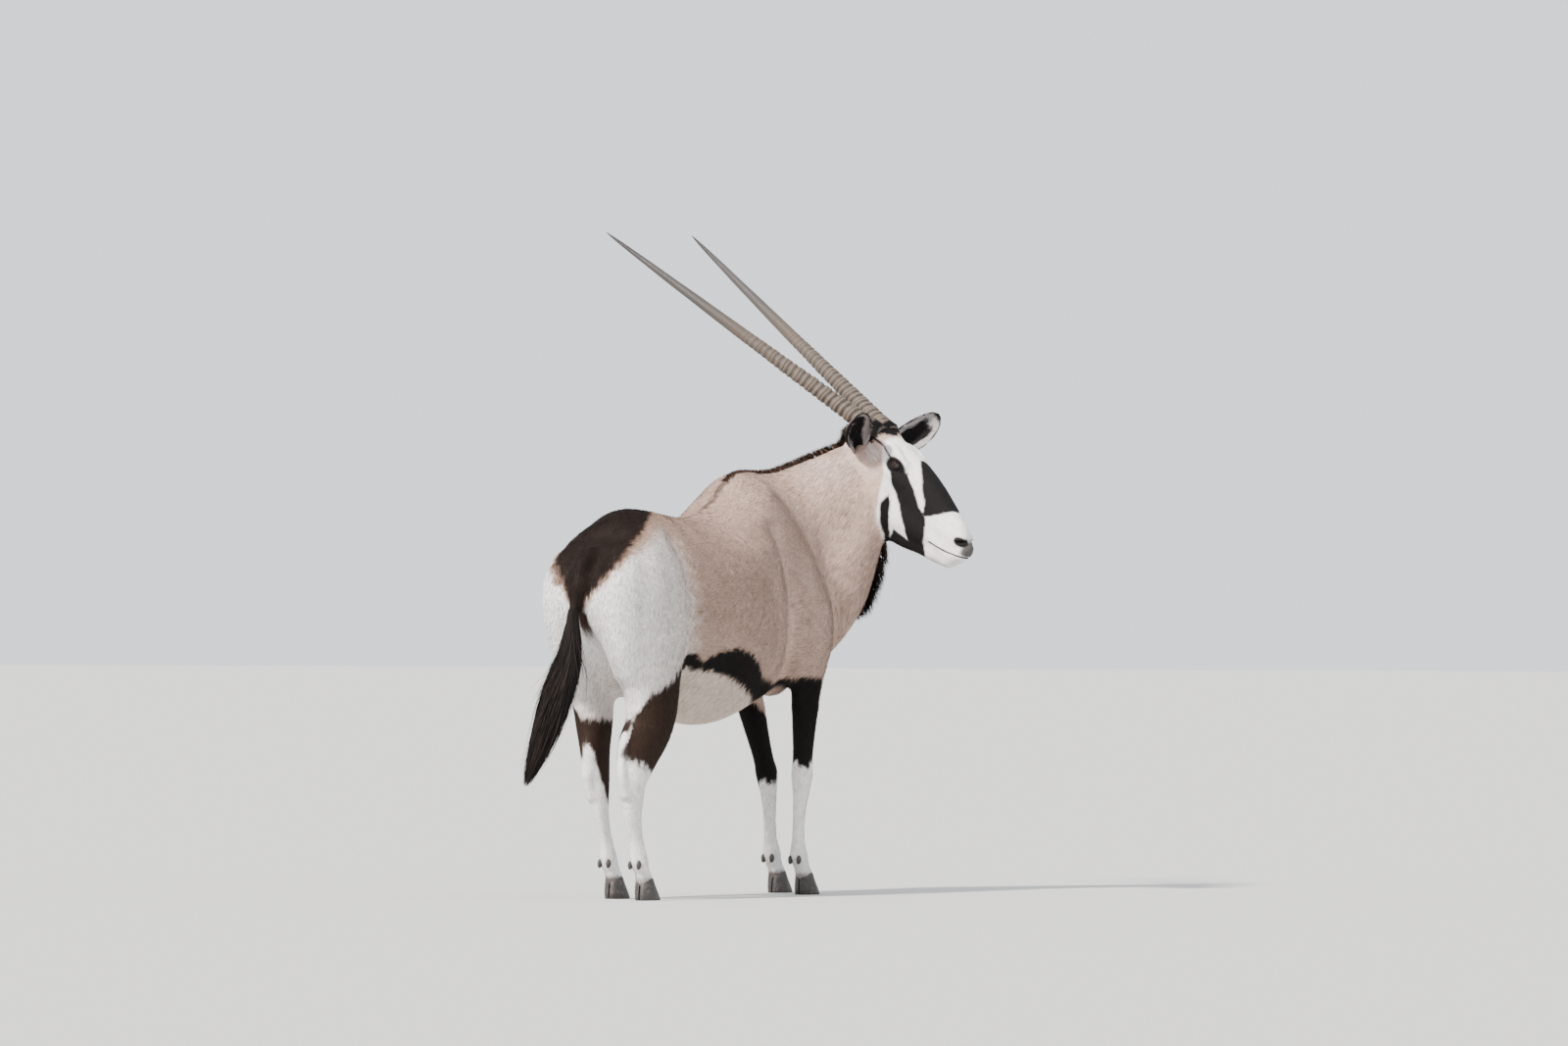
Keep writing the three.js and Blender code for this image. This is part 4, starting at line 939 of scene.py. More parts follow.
class Paint:
    """A material: its constants go on the shader's own sockets, and what varies is wired."""

    def __init__(self, name, **constants):
        self.material = bpy.data.materials.new(name)
        self.material.use_nodes = True
        self.tree = self.material.node_tree
        self.shader = self.tree.nodes["Principled BSDF"]
        for socket, value in constants.items():
            self.shader.inputs[socket.replace("_", " ")].default_value = value

    def add(self, kind, settings, *values, output=0, **named):
        node = self.tree.nodes.new(kind)
        for setting, value in settings.items():
            setattr(node, setting, value)
        for key, value in [*enumerate(values), *named.items()]:
            socket = node.inputs[key if isinstance(key, int) else key.replace("_", " ")]
            if isinstance(value, Wire):
                self.tree.links.new(value.socket, socket)
            else:
                socket.default_value = value
        return Wire(self, node.outputs[output])

    def wire(self, name, value):
        self.tree.links.new(value.socket, self.shader.inputs[name])

    def place(self, scale=(1, 1, 1), turn=(0, 0, 0)):
        """Object coordinates, scaled."""
        spot = self.add("ShaderNodeTexCoord", {}, output=3)
        return self.add("ShaderNodeMapping", {}, spot, Scale=scale, Rotation=turn)

    def noise(self, scale, detail=3.0, roughness=0.55, where=None):
        where = where or self.place()
        return self.add("ShaderNodeTexNoise", {}, Vector=where, Scale=scale, Detail=detail, Roughness=roughness)

    def attribute(self, name):
        return self.add("ShaderNodeAttribute", {"attribute_name": name}, output=0)

    def tinted(self, colour, shade):
        """A colour times a value."""
        grey = self.add("ShaderNodeCombineColor", {}, shade, shade, shade)
        settings = {"data_type": "RGBA", "blend_type": "MULTIPLY"}
        mixed = self.add("ShaderNodeMix", settings, output=2)
        node = mixed.socket.node
        node.inputs[0].default_value = 1.0
        self.tree.links.new(colour.socket, node.inputs[6])
        self.tree.links.new(grey.socket, node.inputs[7])
        return mixed

    def blend(self, first, second, share):
        mixed = self.add("ShaderNodeMix", {"data_type": "RGBA"}, output=2)
        node = mixed.socket.node
        for index, value in ((0, share), (6, first), (7, second)):
            if isinstance(value, Wire):
                self.tree.links.new(value.socket, node.inputs[index])
            else:
                node.inputs[index].default_value = value
        return mixed

    def bump(self, height, distance, strength=1.0):
        return self.add("ShaderNodeBump", {}, Height=height, Distance=distance, Strength=strength)


def coat_finish():
    """Short fur: the markings, streaked finely, over a bump of hairs."""
    paint = Paint("short_fur", Roughness=0.75, Specular_IOR_Level=0.12)
    hairs = paint.noise(900, detail=4.0, where=paint.place(scale=(0.22, 1, 1)))
    clumps = paint.noise(130, detail=3.0)
    shade = (hairs * 0.35 + clumps * 0.3) + 0.68
    paint.wire("Base Color", paint.tinted(paint.attribute("coat"), shade))
    paint.wire("Normal", paint.bump(hairs + clumps * 0.8, 0.0016, 0.7))
    return paint.material


def fur_finish():
    """The tufts: their own colour with a little life in it."""
    paint = Paint("fur_tufts", Roughness=0.7, Specular_IOR_Level=0.12)
    clumps = paint.noise(70, detail=3.0)
    paint.wire("Base Color", paint.tinted(paint.attribute("coat"), clumps * 0.3 + 0.85))
    return paint.material


def dress(made, material):
    made.data.materials.clear()
    made.data.materials.append(material)
    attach(made, "root")


FLESH = ["torso", "neck", "head", "tail_dock"]
FLESH += [f"{part}_{hand}" for part in ("forearm", "thigh", "gaskin", "fore_cannon", "hind_cannon") for hand in SIDES]
dress(skin, coat_finish())
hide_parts(*FLESH)


# Ears
EAR_ROOT = {"along": 44, "out": 60, "up": -2}
EAR_WAYS = {
    "right": {"along": (-0.71, -0.48, 0.5), "open": (-0.64, -0.76, -0.1)},
    "left": {"along": (0.5, -0.69, 0.5), "open": (-0.75, -0.66, 0.05)},
}
# From the stalk to the tip: place along it, half-width, depth of the cup, thickness of its wall
EAR_ROWS = [
    [-16, 18, 18, 9],
    [22, 24, 23, 10],
    [58, 36, 30, 6],
    [96, 43, 31, 4.5],
    [134, 42, 26, 4],
    [168, 34, 18, 3.5],
    [192, 21, 10, 3],
    [205, 7, 4, 2.5],
]
EAR_LENGTH = 205
# How far the middle of each ear bows to its side
EAR_BOW = {"right": 5, "left": -12}
EAR_RINGS = 44
EAR_TURNS = 26
EAR_INSET = 0.8


def ear_frame(hand):
    """The root of an ear and its axes, as rows: along it, across it, and the way that it opens."""
    root = from_head([EAR_ROOT["along"], SIDES[hand] * EAR_ROOT["out"], EAR_ROOT["up"]])
    along = unit(np.array(EAR_WAYS[hand]["along"]))
    opening = np.array(EAR_WAYS[hand]["open"])
    opening = unit(opening - along * (opening @ along))
    return root, np.array([along, np.cross(opening, along), opening])


def ear_bow(at, hand):
    return EAR_BOW[hand] * np.sin(np.pi * np.clip(at / EAR_LENGTH, 0, 1))


def ear_arc(row, reach, inset):
    at, wide, deep, _ = row
    angle = np.pi * (np.arange(EAR_TURNS) / (EAR_TURNS - 1) - 0.5) * reach
    wide, deep = max(wide - inset, 0.7), max(deep - inset, 0.7)
    return np.stack([np.full(EAR_TURNS, at), wide * np.sin(angle), -deep * np.cos(angle)], 1)


def make_ear(hand):
    """A cupped ear, open to one side, with a rounded rim."""
    rows = smooth_rows(EAR_ROWS, np.linspace(0, len(EAR_ROWS) - 1, EAR_RINGS))
    rings = []
    for row in rows:
        outer = ear_arc(row, 1.2, EAR_INSET)
        inner = ear_arc(row, 1.1, row[3] - EAR_INSET)[::-1]
        rings.append(np.concatenate([outer, inner]))
    points = np.concatenate(rings)
    folds = 1.2 * np.sin(points[:, 1] / 5.5) * smoothstep(30, 70, points[:, 0]) * smoothstep(195, 150, points[:, 0])
    inner = np.tile(np.arange(2 * EAR_TURNS) >= EAR_TURNS, EAR_RINGS)
    points[:, 2] += folds * inner
    points[:, 1] += ear_bow(points[:, 0], hand)
    root, axes = ear_frame(hand)
    count = 2 * EAR_TURNS
    ring, turn = np.meshgrid(np.arange(EAR_RINGS - 1), np.arange(count), indexing="ij")
    a, b = ring * count + turn, ring * count + (turn + 1) % count
    quads = np.stack([a, b, b + count, a + count], -1).reshape(-1, 4)
    strip = np.arange(EAR_TURNS - 1)
    lid = np.stack([strip, strip + 1, count - 2 - strip, count - 1 - strip], 1)
    quads = np.concatenate([quads, lid[:, ::-1], lid + (EAR_RINGS - 1) * count])
    made = new_object(f"ear_{hand}_skin", points @ axes + root, quads)
    only(made)
    bpy.ops.object.mode_set(mode="EDIT")
    bpy.ops.mesh.select_all(action="SELECT")
    bpy.ops.mesh.normals_make_consistent(inside=False)
    made.data.uv_layers.new(name="OFBake")
    bpy.ops.uv.smart_project(angle_limit=math.radians(60), island_margin=0.01)
    bpy.ops.object.mode_set(mode="OBJECT")
    made.data.shade_smooth()
    paint(made, "coat", ear_colour(in_animal(made.data), normals_of(made.data), hand))
    dress(made, coat_finish_material)
    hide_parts(f"ear_{hand}")
    return made


def ear_place(points, normals, hand):
    """Each point's place along an ear and across it, and whether it faces into the cup."""
    root, axes = ear_frame(hand)
    at, across, up = ((points - root) @ axes.T).T
    across = across - ear_bow(at, hand)
    rows = np.array(EAR_ROWS)
    wide = np.interp(at, rows[:, 0], rows[:, 1])
    _, turned, lifted = (normals @ axes.T).T
    return at, across / wide, -(turned * across + lifted * np.minimum(up, 0)) > 0


def ear_colour(points, normals, hand):
    """Grey brown behind, black along the rim, a pale band inside it and a dark middle."""
    at, across, inner = ear_place(points, normals, hand)
    ragged = 0.06 * noise(points, 14)
    colour = np.tile(EAR_BACK, (len(points), 1))
    colour = mix(colour, FAWN, 0.5 * smoothstep(90, 20, at))
    from_edge = np.maximum(np.abs(across), smoothstep(90, 215, at)) + ragged
    colour = mix(colour, EAR_PALE, inner)
    colour = mix(colour, BLAZE, inner * smoothstep(0.7, 0.55, from_edge))
    rim = smoothstep(0.86, 0.96, np.abs(across) + 0.4 * ragged) + smoothstep(184, 194, at)
    return mix(colour, BLACK, rim * smoothstep(30, 60, at))


coat_finish_material = skin.data.materials[0]
ears = {hand: make_ear(hand) for hand in SIDES}


# Horns
HORN_SIDES = 36
SMOOTH_STEPS = 26


def horn_radius(share):
    return HORN["radius"] * (1 - share) ** HORN["taper"] * (1 - 0.1 * share) + HORN["point"]


def horn_profile(long):
    """Places along the horn, its radius there, and how much of a ring's crest each one is."""
    ringed = HORN["ringed"] * long
    pitch = ringed / HORN["rings"]
    profile = [(-HORN["sunk"], horn_radius(0), 0.3)]
    for ring in range(HORN["rings"]):
        start = (ring + 0.22 * math.sin(2.1 * ring) * (ring > 0)) * pitch
        fade = 1 - (ring / HORN["rings"]) ** 2.2
        swell = 1.9 * fade + 0.1
        for share, lift in ((0.0, -1.0), (0.22, -0.85), (0.42, 0.65), (0.62, 1.0), (0.84, 0.35)):
            at = start + share * pitch
            profile.append((at, horn_radius(at / long) + lift * swell - 0.6, 0.5 + lift * fade / 2))
    for step in range(SMOOTH_STEPS):
        at = ringed + (long - ringed) * (step / SMOOTH_STEPS) ** 0.9
        profile.append((at, horn_radius(at / long) - 0.5, 0.5))
    profile.append((long - 1.5, 0.9, 0.5))
    return profile


def make_horn(hand):
    """A circle extruded ring by ring from its root to its point, then set on the head with its slight sag."""
    side = SIDES[hand]
    base = from_head([HORN["along"], side * HORN["out"], HORN["up"]])
    tip = from_head([HORN["along"] - HORN["length"], side * (HORN["out"] + HORN["spread"]), HORN["up"] - HORN["drop"]])
    long = float(np.linalg.norm(tip - base))
    profile = horn_profile(long)
    bpy.ops.object.select_all(action="DESELECT")
    at, radius, _ = profile[0]
    bpy.ops.mesh.primitive_circle_add(vertices=HORN_SIDES, radius=radius, fill_type="NGON", location=(0, 0, at))
    horn = bpy.context.object
    horn.name = f"horn_{hand}_ringed"
    bpy.ops.object.transform_apply(location=True, rotation=False, scale=False)
    bpy.ops.object.mode_set(mode="EDIT")
    bpy.ops.mesh.select_all(action="SELECT")
    for (before, last_radius, _), (here, next_radius, _) in zip(profile[:-1], profile[1:]):
        bpy.ops.mesh.extrude_region_move(TRANSFORM_OT_translate={"value": (0, 0, here - before)})
        grow = next_radius / last_radius
        bpy.ops.transform.resize(value=(grow, grow, 1), center_override=(0, 0, here))
    bpy.ops.mesh.select_all(action="SELECT")
    bpy.ops.mesh.normals_make_consistent(inside=False)
    bpy.ops.object.mode_set(mode="OBJECT")

    mesh = horn.data
    spots = np.empty(len(mesh.vertices) * 3)
    mesh.vertices.foreach_get("co", spots)
    spots = spots.reshape(-1, 3)
    along = spots[:, 2].copy()
    share = along / long
    angle = np.arctan2(spots[:, 1], spots[:, 0])
    crest = np.interp(along, [row[0] for row in profile], [row[2] for row in profile])
    lumps = 1 + 0.012 * np.sin(3 * angle + along / 37) + 0.01 * np.sin(5 * angle - along / 23)
    spots[:, :2] *= lumps[:, None] * np.array([1.03, 0.97])
    spots[:, 2] += 1.6 * np.sin(angle * 2 + along / 60) * smoothstep(0, 40, along) * smoothstep(0.6, 0.4, share)
    spots[:, 1] += 4 * HORN["sag"] * share * (1 - share)
    fibre = np.stack([np.cos(angle) * 30, np.sin(angle) * 30, along * 0.12], 1)
    upward = unit(tip - base)
    across = unit(np.array([1.0, 0, 0]) - upward * upward[0])
    axes = np.array([across, np.cross(upward, across), upward])
    mesh.vertices.foreach_set("co", in_frame(spots @ axes + base).ravel())
    for name, kind, values in (("ring_crest", "FLOAT", crest), ("horn_share", "FLOAT", share)):
        mesh.attributes.new(name, kind, "POINT").data.foreach_set("value", values)
    mesh.attributes.new("fibre", "FLOAT_VECTOR", "POINT").data.foreach_set("vector", fibre.ravel())
    mesh.update()
    mesh.shade_smooth()
    dress(horn, horn_material)
    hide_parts(f"horn_{hand}")


def horn_finish():
    """Ringed horn: grey brown, darker in the grooves and towards the smooth tip, with long fibres."""
    paint = Paint("ringed_horn", Roughness=0.5, Specular_IOR_Level=0.4)
    crest = paint.add("ShaderNodeAttribute", {"attribute_name": "ring_crest"}, output=2)
    share = paint.add("ShaderNodeAttribute", {"attribute_name": "horn_share"}, output=2)
    fibre = paint.add("ShaderNodeAttribute", {"attribute_name": "fibre"}, output=1)
    streaks = paint.noise(0.42, detail=5.0, where=fibre)
    blotches = paint.noise(38, detail=3.0)
    low = paint.blend((0.018, 0.013, 0.01, 1), (0.135, 0.103, 0.079, 1), crest * 0.85 + blotches * 0.15)
    colour = paint.blend(low, (0.05, 0.043, 0.04, 1), share.smooth(0.42, 0.72))
    colour = paint.blend(colour, (0.02, 0.017, 0.016, 1), share.smooth(0.8, 0.98))
    paint.wire("Base Color", paint.tinted(colour, streaks * 0.9 + 0.55))
    paint.wire("Roughness", share.smooth(0.45, 0.8, 0.62, 0.36) + streaks * 0.08)
    paint.wire("Normal", paint.bump(streaks * 0.7 + blotches * 0.5, 0.0012, 0.8))
    return paint.material


horn_material = horn_finish()
for hand in SIDES:
    make_horn(hand)


# Hooves
CLAW_SIDES = 32
# Rings from the sole up: height, heel and toe as shares of the length, and breadth as a share of the width
CLAW_RINGS = [
    [0, -0.43, 0.5, 0.93],
    [3, -0.455, 0.535, 0.985],
    [9, -0.465, 0.5, 0.99],
    [18, -0.465, 0.44, 0.985],
    [30, -0.445, 0.345, 0.96],
    [42, -0.42, 0.25, 0.93],
    [54, -0.39, 0.165, 0.89],
    [62, -0.36, 0.11, 0.84],
    [66, -0.3, 0.05, 0.7],
]


def claw_ring(x, y, out, row):
    z, heel, toe, wide = row
    angle = 2 * np.pi * (np.arange(CLAW_SIDES) + 0.5) / CLAW_SIDES
    forward, across = np.cos(angle), np.sin(angle)
    reach = CLAW["length"] * (heel + (toe - heel) * (1 + forward) / 2)
    narrowing = np.where(forward > 0, 1 - 0.45 * forward * forward, 1)
    inner = 0.05 * np.minimum(across, 0)
    breadth = CLAW["width"] * wide * np.where(across > 0, across, inner) * narrowing
    middle = CLAW["cleft"] + breadth + np.maximum(reach, 0) * CLAW["splay"]
    return np.stack([x + reach, y + out * middle, np.full(CLAW_SIDES, float(z))], 1)


def make_claw(kind, hand, place, rows, out):
    x, y = rows[LAST_ROW][:2]
    rings = [claw_ring(x + CLAW["forward"], y, out, row) for row in CLAW_RINGS]
    bpy.ops.object.select_all(action="DESELECT")
    bpy.ops.mesh.primitive_circle_add(vertices=CLAW_SIDES, radius=0.03, fill_type="NGON")
    claw = bpy.context.object
    claw.name = f"{kind}_hoof_{hand}_{place}"
    bpy.ops.object.mode_set(mode="EDIT")
    bpy.ops.mesh.select_all(action="SELECT")
    for _ in rings[1:]:
        bpy.ops.mesh.extrude_region_move(TRANSFORM_OT_translate={"value": (0, 0, 0.01)})
    bpy.ops.object.mode_set(mode="OBJECT")
    claw.data.vertices.foreach_set("co", in_frame(np.concatenate(rings)).ravel())
    claw.data.update()
    bpy.ops.object.mode_set(mode="EDIT")
    bpy.ops.mesh.select_all(action="SELECT")
    bpy.ops.mesh.normals_make_consistent(inside=False)
    bpy.ops.object.mode_set(mode="OBJECT")
    claw.data.shade_smooth()
    dress(claw, hoof_material)
    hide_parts(f"{kind}_claw_{hand}_{place}")


def make_dewclaws():
    """Two small horny buds behind each fetlock, joined as one piece."""
    buds = []
    for rows in [table[hand] for table in (FORELEG, HINDLEG) for hand in SIDES]:
        x, y, z = rows[FETLOCK_ROW][:3]
        for side in (-1, 1):
            bpy.ops.object.select_all(action="DESELECT")
            bpy.ops.mesh.primitive_uv_sphere_add(segments=20, ring_count=12, radius=1)
            bud = bpy.context.object
            spots = np.array([vertex.co for vertex in bud.data.vertices])
            spots[:, 0] -= 0.35 * np.maximum(-spots[:, 2], 0) ** 2
            spots *= np.array(DEWCLAW["size"]) * [0.85, 0.85, 0.9]
            spots += [x - DEWCLAW["back"] + 6, y + side * DEWCLAW["out"], z - DEWCLAW["below"]]
            put_back(bud.data, spots)
            buds.append(bud)
    bpy.ops.object.select_all(action="DESELECT")
    for bud in buds:
        bud.select_set(True)
    bpy.context.view_layer.objects.active = buds[0]
    bpy.ops.object.join()
    buds[0].name = "dewclaws"
    buds[0].data.shade_smooth()
    dress(buds[0], hoof_material)


def hoof_finish():
    """Dark horn with growth rings and scuffs."""
    paint = Paint("hoof_horn", Roughness=0.5)
    bands = paint.noise(1, detail=3.0, where=paint.place(scale=(9, 9, 260)))
    scuffs = paint.noise(90, detail=4.0)
    colour = paint.blend((0.016, 0.013, 0.012, 1), (0.085, 0.07, 0.06, 1), scuffs.smooth(0.45, 0.8) * 0.8 + bands * 0.2)
    paint.wire("Base Color", colour)
    paint.wire("Roughness", scuffs * 0.35 + 0.34)
    paint.wire("Normal", paint.bump(bands + scuffs * 0.4, 0.0012, 0.7))
    return paint.material


hoof_material = hoof_finish()
for hand, side in SIDES.items():
    for kind, rows in (("fore", FORELEG[hand]), ("hind", HINDLEG[hand])):
        make_claw(kind, hand, "outer", rows, side)
        make_claw(kind, hand, "inner", rows, -side)
make_dewclaws()


# Eyes
def eye_finish():
    """A dark brown eye with a long level pupil, its bulging front wet and glossy."""
    paint = Paint("wet_eye", Roughness=0.08, Specular_IOR_Level=0.5)
    pupil = paint.add("ShaderNodeAttribute", {"attribute_name": "pupil"}, output=2)
    ring = paint.add("ShaderNodeAttribute", {"attribute_name": "iris"}, output=2)
    streaks = paint.noise(700, detail=3.0)
    iris = paint.blend((0.008, 0.004, 0.003, 1), (0.03, 0.014, 0.007, 1), streaks)
    colour = paint.blend(iris, (0.006, 0.004, 0.003, 1), ring.smooth(0.62, 0.8))
    paint.wire("Base Color", paint.blend(colour, (0.002, 0.002, 0.002, 1), pupil.smooth(0.4, 0.6)))
    return paint.material


def make_eye(hand):
    side = SIDES[hand]
    bpy.ops.object.select_all(action="DESELECT")
    bpy.ops.mesh.primitive_uv_sphere_add(segments=64, ring_count=40, radius=1)
    eye = bpy.context.object
    eye.name = f"eye_{hand}_wet"
    spots = np.array([vertex.co for vertex in eye.data.vertices])
    # The ball's own pole turns to the side, so that its rings lie round the iris
    local = np.stack([spots[:, 0], side * spots[:, 2], spots[:, 1] * side], 1)
    outward = np.maximum(side * local[:, 1], 0)
    from_middle = np.hypot(local[:, 0], local[:, 2])
    ball = local * (EYE["radius"] - 0.5)
    ball[:, 1] += side * 1.6 * smoothstep(0.8, 1.0, outward)
    slant = EYE["slant"]
    long_way = local[:, 0] * math.cos(slant) + local[:, 2] * math.sin(slant)
    high_way = local[:, 2] * math.cos(slant) - local[:, 0] * math.sin(slant)
    pupil = smoothstep(1.25, 0.85, np.hypot(long_way / 0.4, high_way / 0.2)) * (outward > 0)
    spot = np.array([EYE["along"], side * EYE["out"], EYE["up"]])
    put_back(eye.data, from_head(ball + spot))
    for name, values in (("pupil", pupil), ("iris", from_middle)):
        eye.data.attributes.new(name, "FLOAT", "POINT").data.foreach_set("value", values)
    only(eye)
    bpy.ops.object.mode_set(mode="EDIT")
    bpy.ops.mesh.select_all(action="SELECT")
    bpy.ops.mesh.normals_make_consistent(inside=False)
    bpy.ops.object.mode_set(mode="OBJECT")
    eye.data.shade_smooth()
    dress(eye, eye_material)
    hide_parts(f"eye_{hand}")


eye_material = eye_finish()
for hand in SIDES:
    make_eye(hand)


# Fur and hair
PATCH = 0.003
MOST_TRIANGLES = 190000


def blade_faces(rings):
    """The triangles of one closed blade with three sides."""
    faces = [(0, 2, 1)]
    for ring in range(rings - 1):
        low, high = 3 * ring, 3 * ring + 3
        for a, b in ((0, 1), (1, 2), (2, 0)):
            faces += [(low + a, low + b, high + b), (low + a, high + b, high + a)]
    last, tip = 3 * rings - 3, 3 * rings
    return np.array([*faces, (last, last + 1, tip), (last + 1, last + 2, tip), (last + 2, last, tip)])


def one_piece_of_hair(name, paths, widths, thick, look, colours, patches, softness):
    count, rings = paths.shape[0], paths.shape[1] - 1
    along = unit(np.diff(paths, axis=1))
    across = unit(np.cross(along, look[:, None]))
    lift = np.cross(across, along)
    low = paths[:, :-1] - lift * (0.35 * thick)[..., None]
    aside = across * (widths / 2)[..., None]
    crest = paths[:, :-1] + lift * (0.65 * thick)[..., None]
    corners = np.stack([low + aside, low - aside, crest], 2).reshape(count, 3 * rings, 3)
    points = np.concatenate([corners, paths[:, -1:]], 1)
    faces = (np.arange(count) * (3 * rings + 1))[:, None, None] + blade_faces(rings)
    made = new_object(name, points.reshape(-1, 3), faces.reshape(-1, 3))

    own = np.stack([across * 0.9 + lift * 0.1, lift * 0.1 - across * 0.9, lift], 2).reshape(count, 3 * rings, 3)
    own = np.concatenate([own, lift[:, -1:]], 1)
    normals = unit(look[:, None] * softness + own * (1 - softness))
    place = np.append(np.repeat(np.arange(rings) / rings, 3), 1)
    shade = 0.8 + 0.3 * place
    paint(made, "coat", np.clip(colours[:, None] * shade[None, :, None], 0.002, 1).reshape(-1, 3))
    spread = np.stack([np.append(np.tile([0, 1, 0.5], rings), 0.5), place], 1) * PATCH
    uv = (patches[:, None] + spread).reshape(-1, 2)
    layer = made.data.uv_layers.new(name="OFBake")
    layer.data.foreach_set("uv", uv[faces.ravel()].ravel())
    made.data.shade_smooth()
    made.data.normals_split_custom_set_from_vertices(normals.reshape(-1, 3))
    return made


def make_hair(name, paths, widths, thick, look, colours, patches, softness=0.75):
    """Blades along paths (blade, place, xyz). Widths and thicknesses are for each place but the last, and look is
    the way that each blade's broad side faces."""
    most = MOST_TRIANGLES // len(blade_faces(paths.shape[1] - 1))
    parts = -(-len(paths) // most)
    for number in range(parts):
        part = slice(number, None, parts)
        made = one_piece_of_hair(
            f"{name}_{number + 1}", paths[part], widths[part], thick[part], look[part],
            colours[part], patches[part], softness,
        )
        dress(made, fur_material)


def spots_on(made, density):
    """Scattered places on an object: points, normals and their places on its unwrap."""
    mesh = made.data
    mesh.calc_loop_triangles()
    corners = np.empty(len(mesh.loop_triangles) * 3, int)
    loops = np.empty_like(corners)
    mesh.loop_triangles.foreach_get("vertices", corners)
    mesh.loop_triangles.foreach_get("loops", loops)
    unwrap = np.empty(len(mesh.loops) * 2)
    mesh.uv_layers["OFBake"].data.foreach_get("uv", unwrap)
    spots = in_animal(mesh)[corners].reshape(-1, 3, 3)
    area = np.linalg.norm(np.cross(spots[:, 1] - spots[:, 0], spots[:, 2] - spots[:, 0]), axis=1) / 2
    weight = np.cumsum(area * density(spots.mean(1)))
    count = int(weight[-1])
    pick = np.searchsorted(weight, (np.arange(count) + rng.random(count)) * weight[-1] / count)
    share = rng.random((count, 2))
    share = np.where(share.sum(1, keepdims=True) > 1, 1 - share, share)
    share = np.column_stack([1 - share.sum(1), share])[..., None]
    normal = unit((normals_of(mesh)[corners].reshape(-1, 3, 3)[pick] * share).sum(1))
    return (spots[pick] * share).sum(1), normal, (unwrap.reshape(-1, 2)[loops].reshape(-1, 3, 2)[pick] * share).sum(1)


def face_share(points):
    """One on the head, falling to nothing on the neck."""
    local = to_head(points)
    share = smoothstep(20, 110, local[:, 0] - 0.5 * np.minimum(local[:, 2] + 60, 0))
    near = (np.linalg.norm(points - from_head([230, 0, -30]), axis=1) < 330) & (share > 0)
    share[~near] = 0
    share[near] *= smoothstep(18, 6, head_flesh(local[near]))
    return share


def fur_size(points):
    """Length and width of the tufts, and how many times over they cover the skin."""
    face = face_share(points)
    leg = smoothstep(640, 420, points[:, 2])
    long = 19 + 3 * smoothstep(380, 480, points[:, 0]) - 10 * leg
    long = long + (5.5 - long) * face
    wide = 3.0 - 1.2 * leg
    wide = wide + (1.5 - wide) * face
    return long, wide, 2.3 - 0.8 * leg - 1.2 * face


def fur_density(points):
    long, wide, cover = fur_size(points)
    local = to_head(points)
    along, out, up = local[:, 0], np.abs(local[:, 1]), local[:, 2]
    face = face_share(points) > 0.5
    eye = np.hypot((along - EYE["along"]) / 21, (up - EYE["up"]) / 15) < 1
    nose = np.hypot((along - NOSTRIL["along"]) / 15, (up - NOSTRIL["up"]) / 9) < 1
    pad = (along > 484) & (up < 6) & (up > -56)
    lips = (np.abs(up - mouth_line(along)) < 3) & (along > MOUTH["corner"])
    bare = face & ((eye & (out > 38)) | (nose & (out > 9)) | pad | lips)
    return 1.95 * cover / (long * wide) * ~bare * (points[:, 2] > 60)


def fur_way(points):
    """The way the coat lies: back along the body, down the neck and the legs, and back up the face."""
    x, y, z = points.T
    way = np.tile([-1.0, 0, -0.3], (len(points), 1))
    on_neck = smoothstep(330, 470, x) * smoothstep(820, 960, z)
    way = way + on_neck[:, None] * (np.array([-0.42, 0.36, -0.85]) - way)
    low = np.maximum(smoothstep(720, 520, z), smoothstep(-330, -460, x) * smoothstep(1060, 900, z))
    way = way + low[:, None] * (np.array([-0.12, 0, -1.0]) - way)
    chest = smoothstep(420, 500, x) * smoothstep(900, 820, z)
    way = way + chest[:, None] * (np.array([-0.3, 0, -1.0]) - way)
    face = face_share(points)[:, None]
    way = way + face * (-HEAD_AXES[0] - way)
    return way


def lie_down(ways, normals, rise):
    """Directions laid along the surface and raised from it by an angle."""
    flat = unit(ways - normals * (ways * normals).sum(1, keepdims=True))
    return flat * np.cos(rise)[:, None] + normals * np.sin(rise)[:, None]


def ruffled(points, ways, normals, amount):
    """Directions turned a little about the normals, in drifts and each for itself."""
    turn = amount * (0.7 * noise(points, 90, first=4) + 0.6 * rng.normal(size=len(points)))
    return ways * np.cos(turn)[:, None] + np.cross(normals, ways) * np.sin(turn)[:, None]


def make_fur():
    points, normals, patches = spots_on(skin, fur_density)
    long, wide, _ = fur_size(points)
    long = long * rng.uniform(0.75, 1.15, len(points))
    ways = ruffled(points, unit(fur_way(points)), normals, 0.24)
    ways = lie_down(ways, normals, rng.uniform(0.1, 0.27, len(points)))
    roots = points - normals * 0.5
    paths = np.stack([roots, roots + ways * long[:, None]], 1)
    drift = 0.05 * noise(points * [0.4, 1, 1], 24, first=2)[:, None]
    colours = coat_colour(points) * (1 + drift + 0.19 * rng.normal(size=(len(points), 1)))
    wide = wide[:, None] * rng.uniform(0.8, 1.2, (len(points), 1))
    make_hair("fur", paths, wide, 0.3 * wide, normals, colours, patches, 0.82)


fur_material = fur_finish()
make_fur()


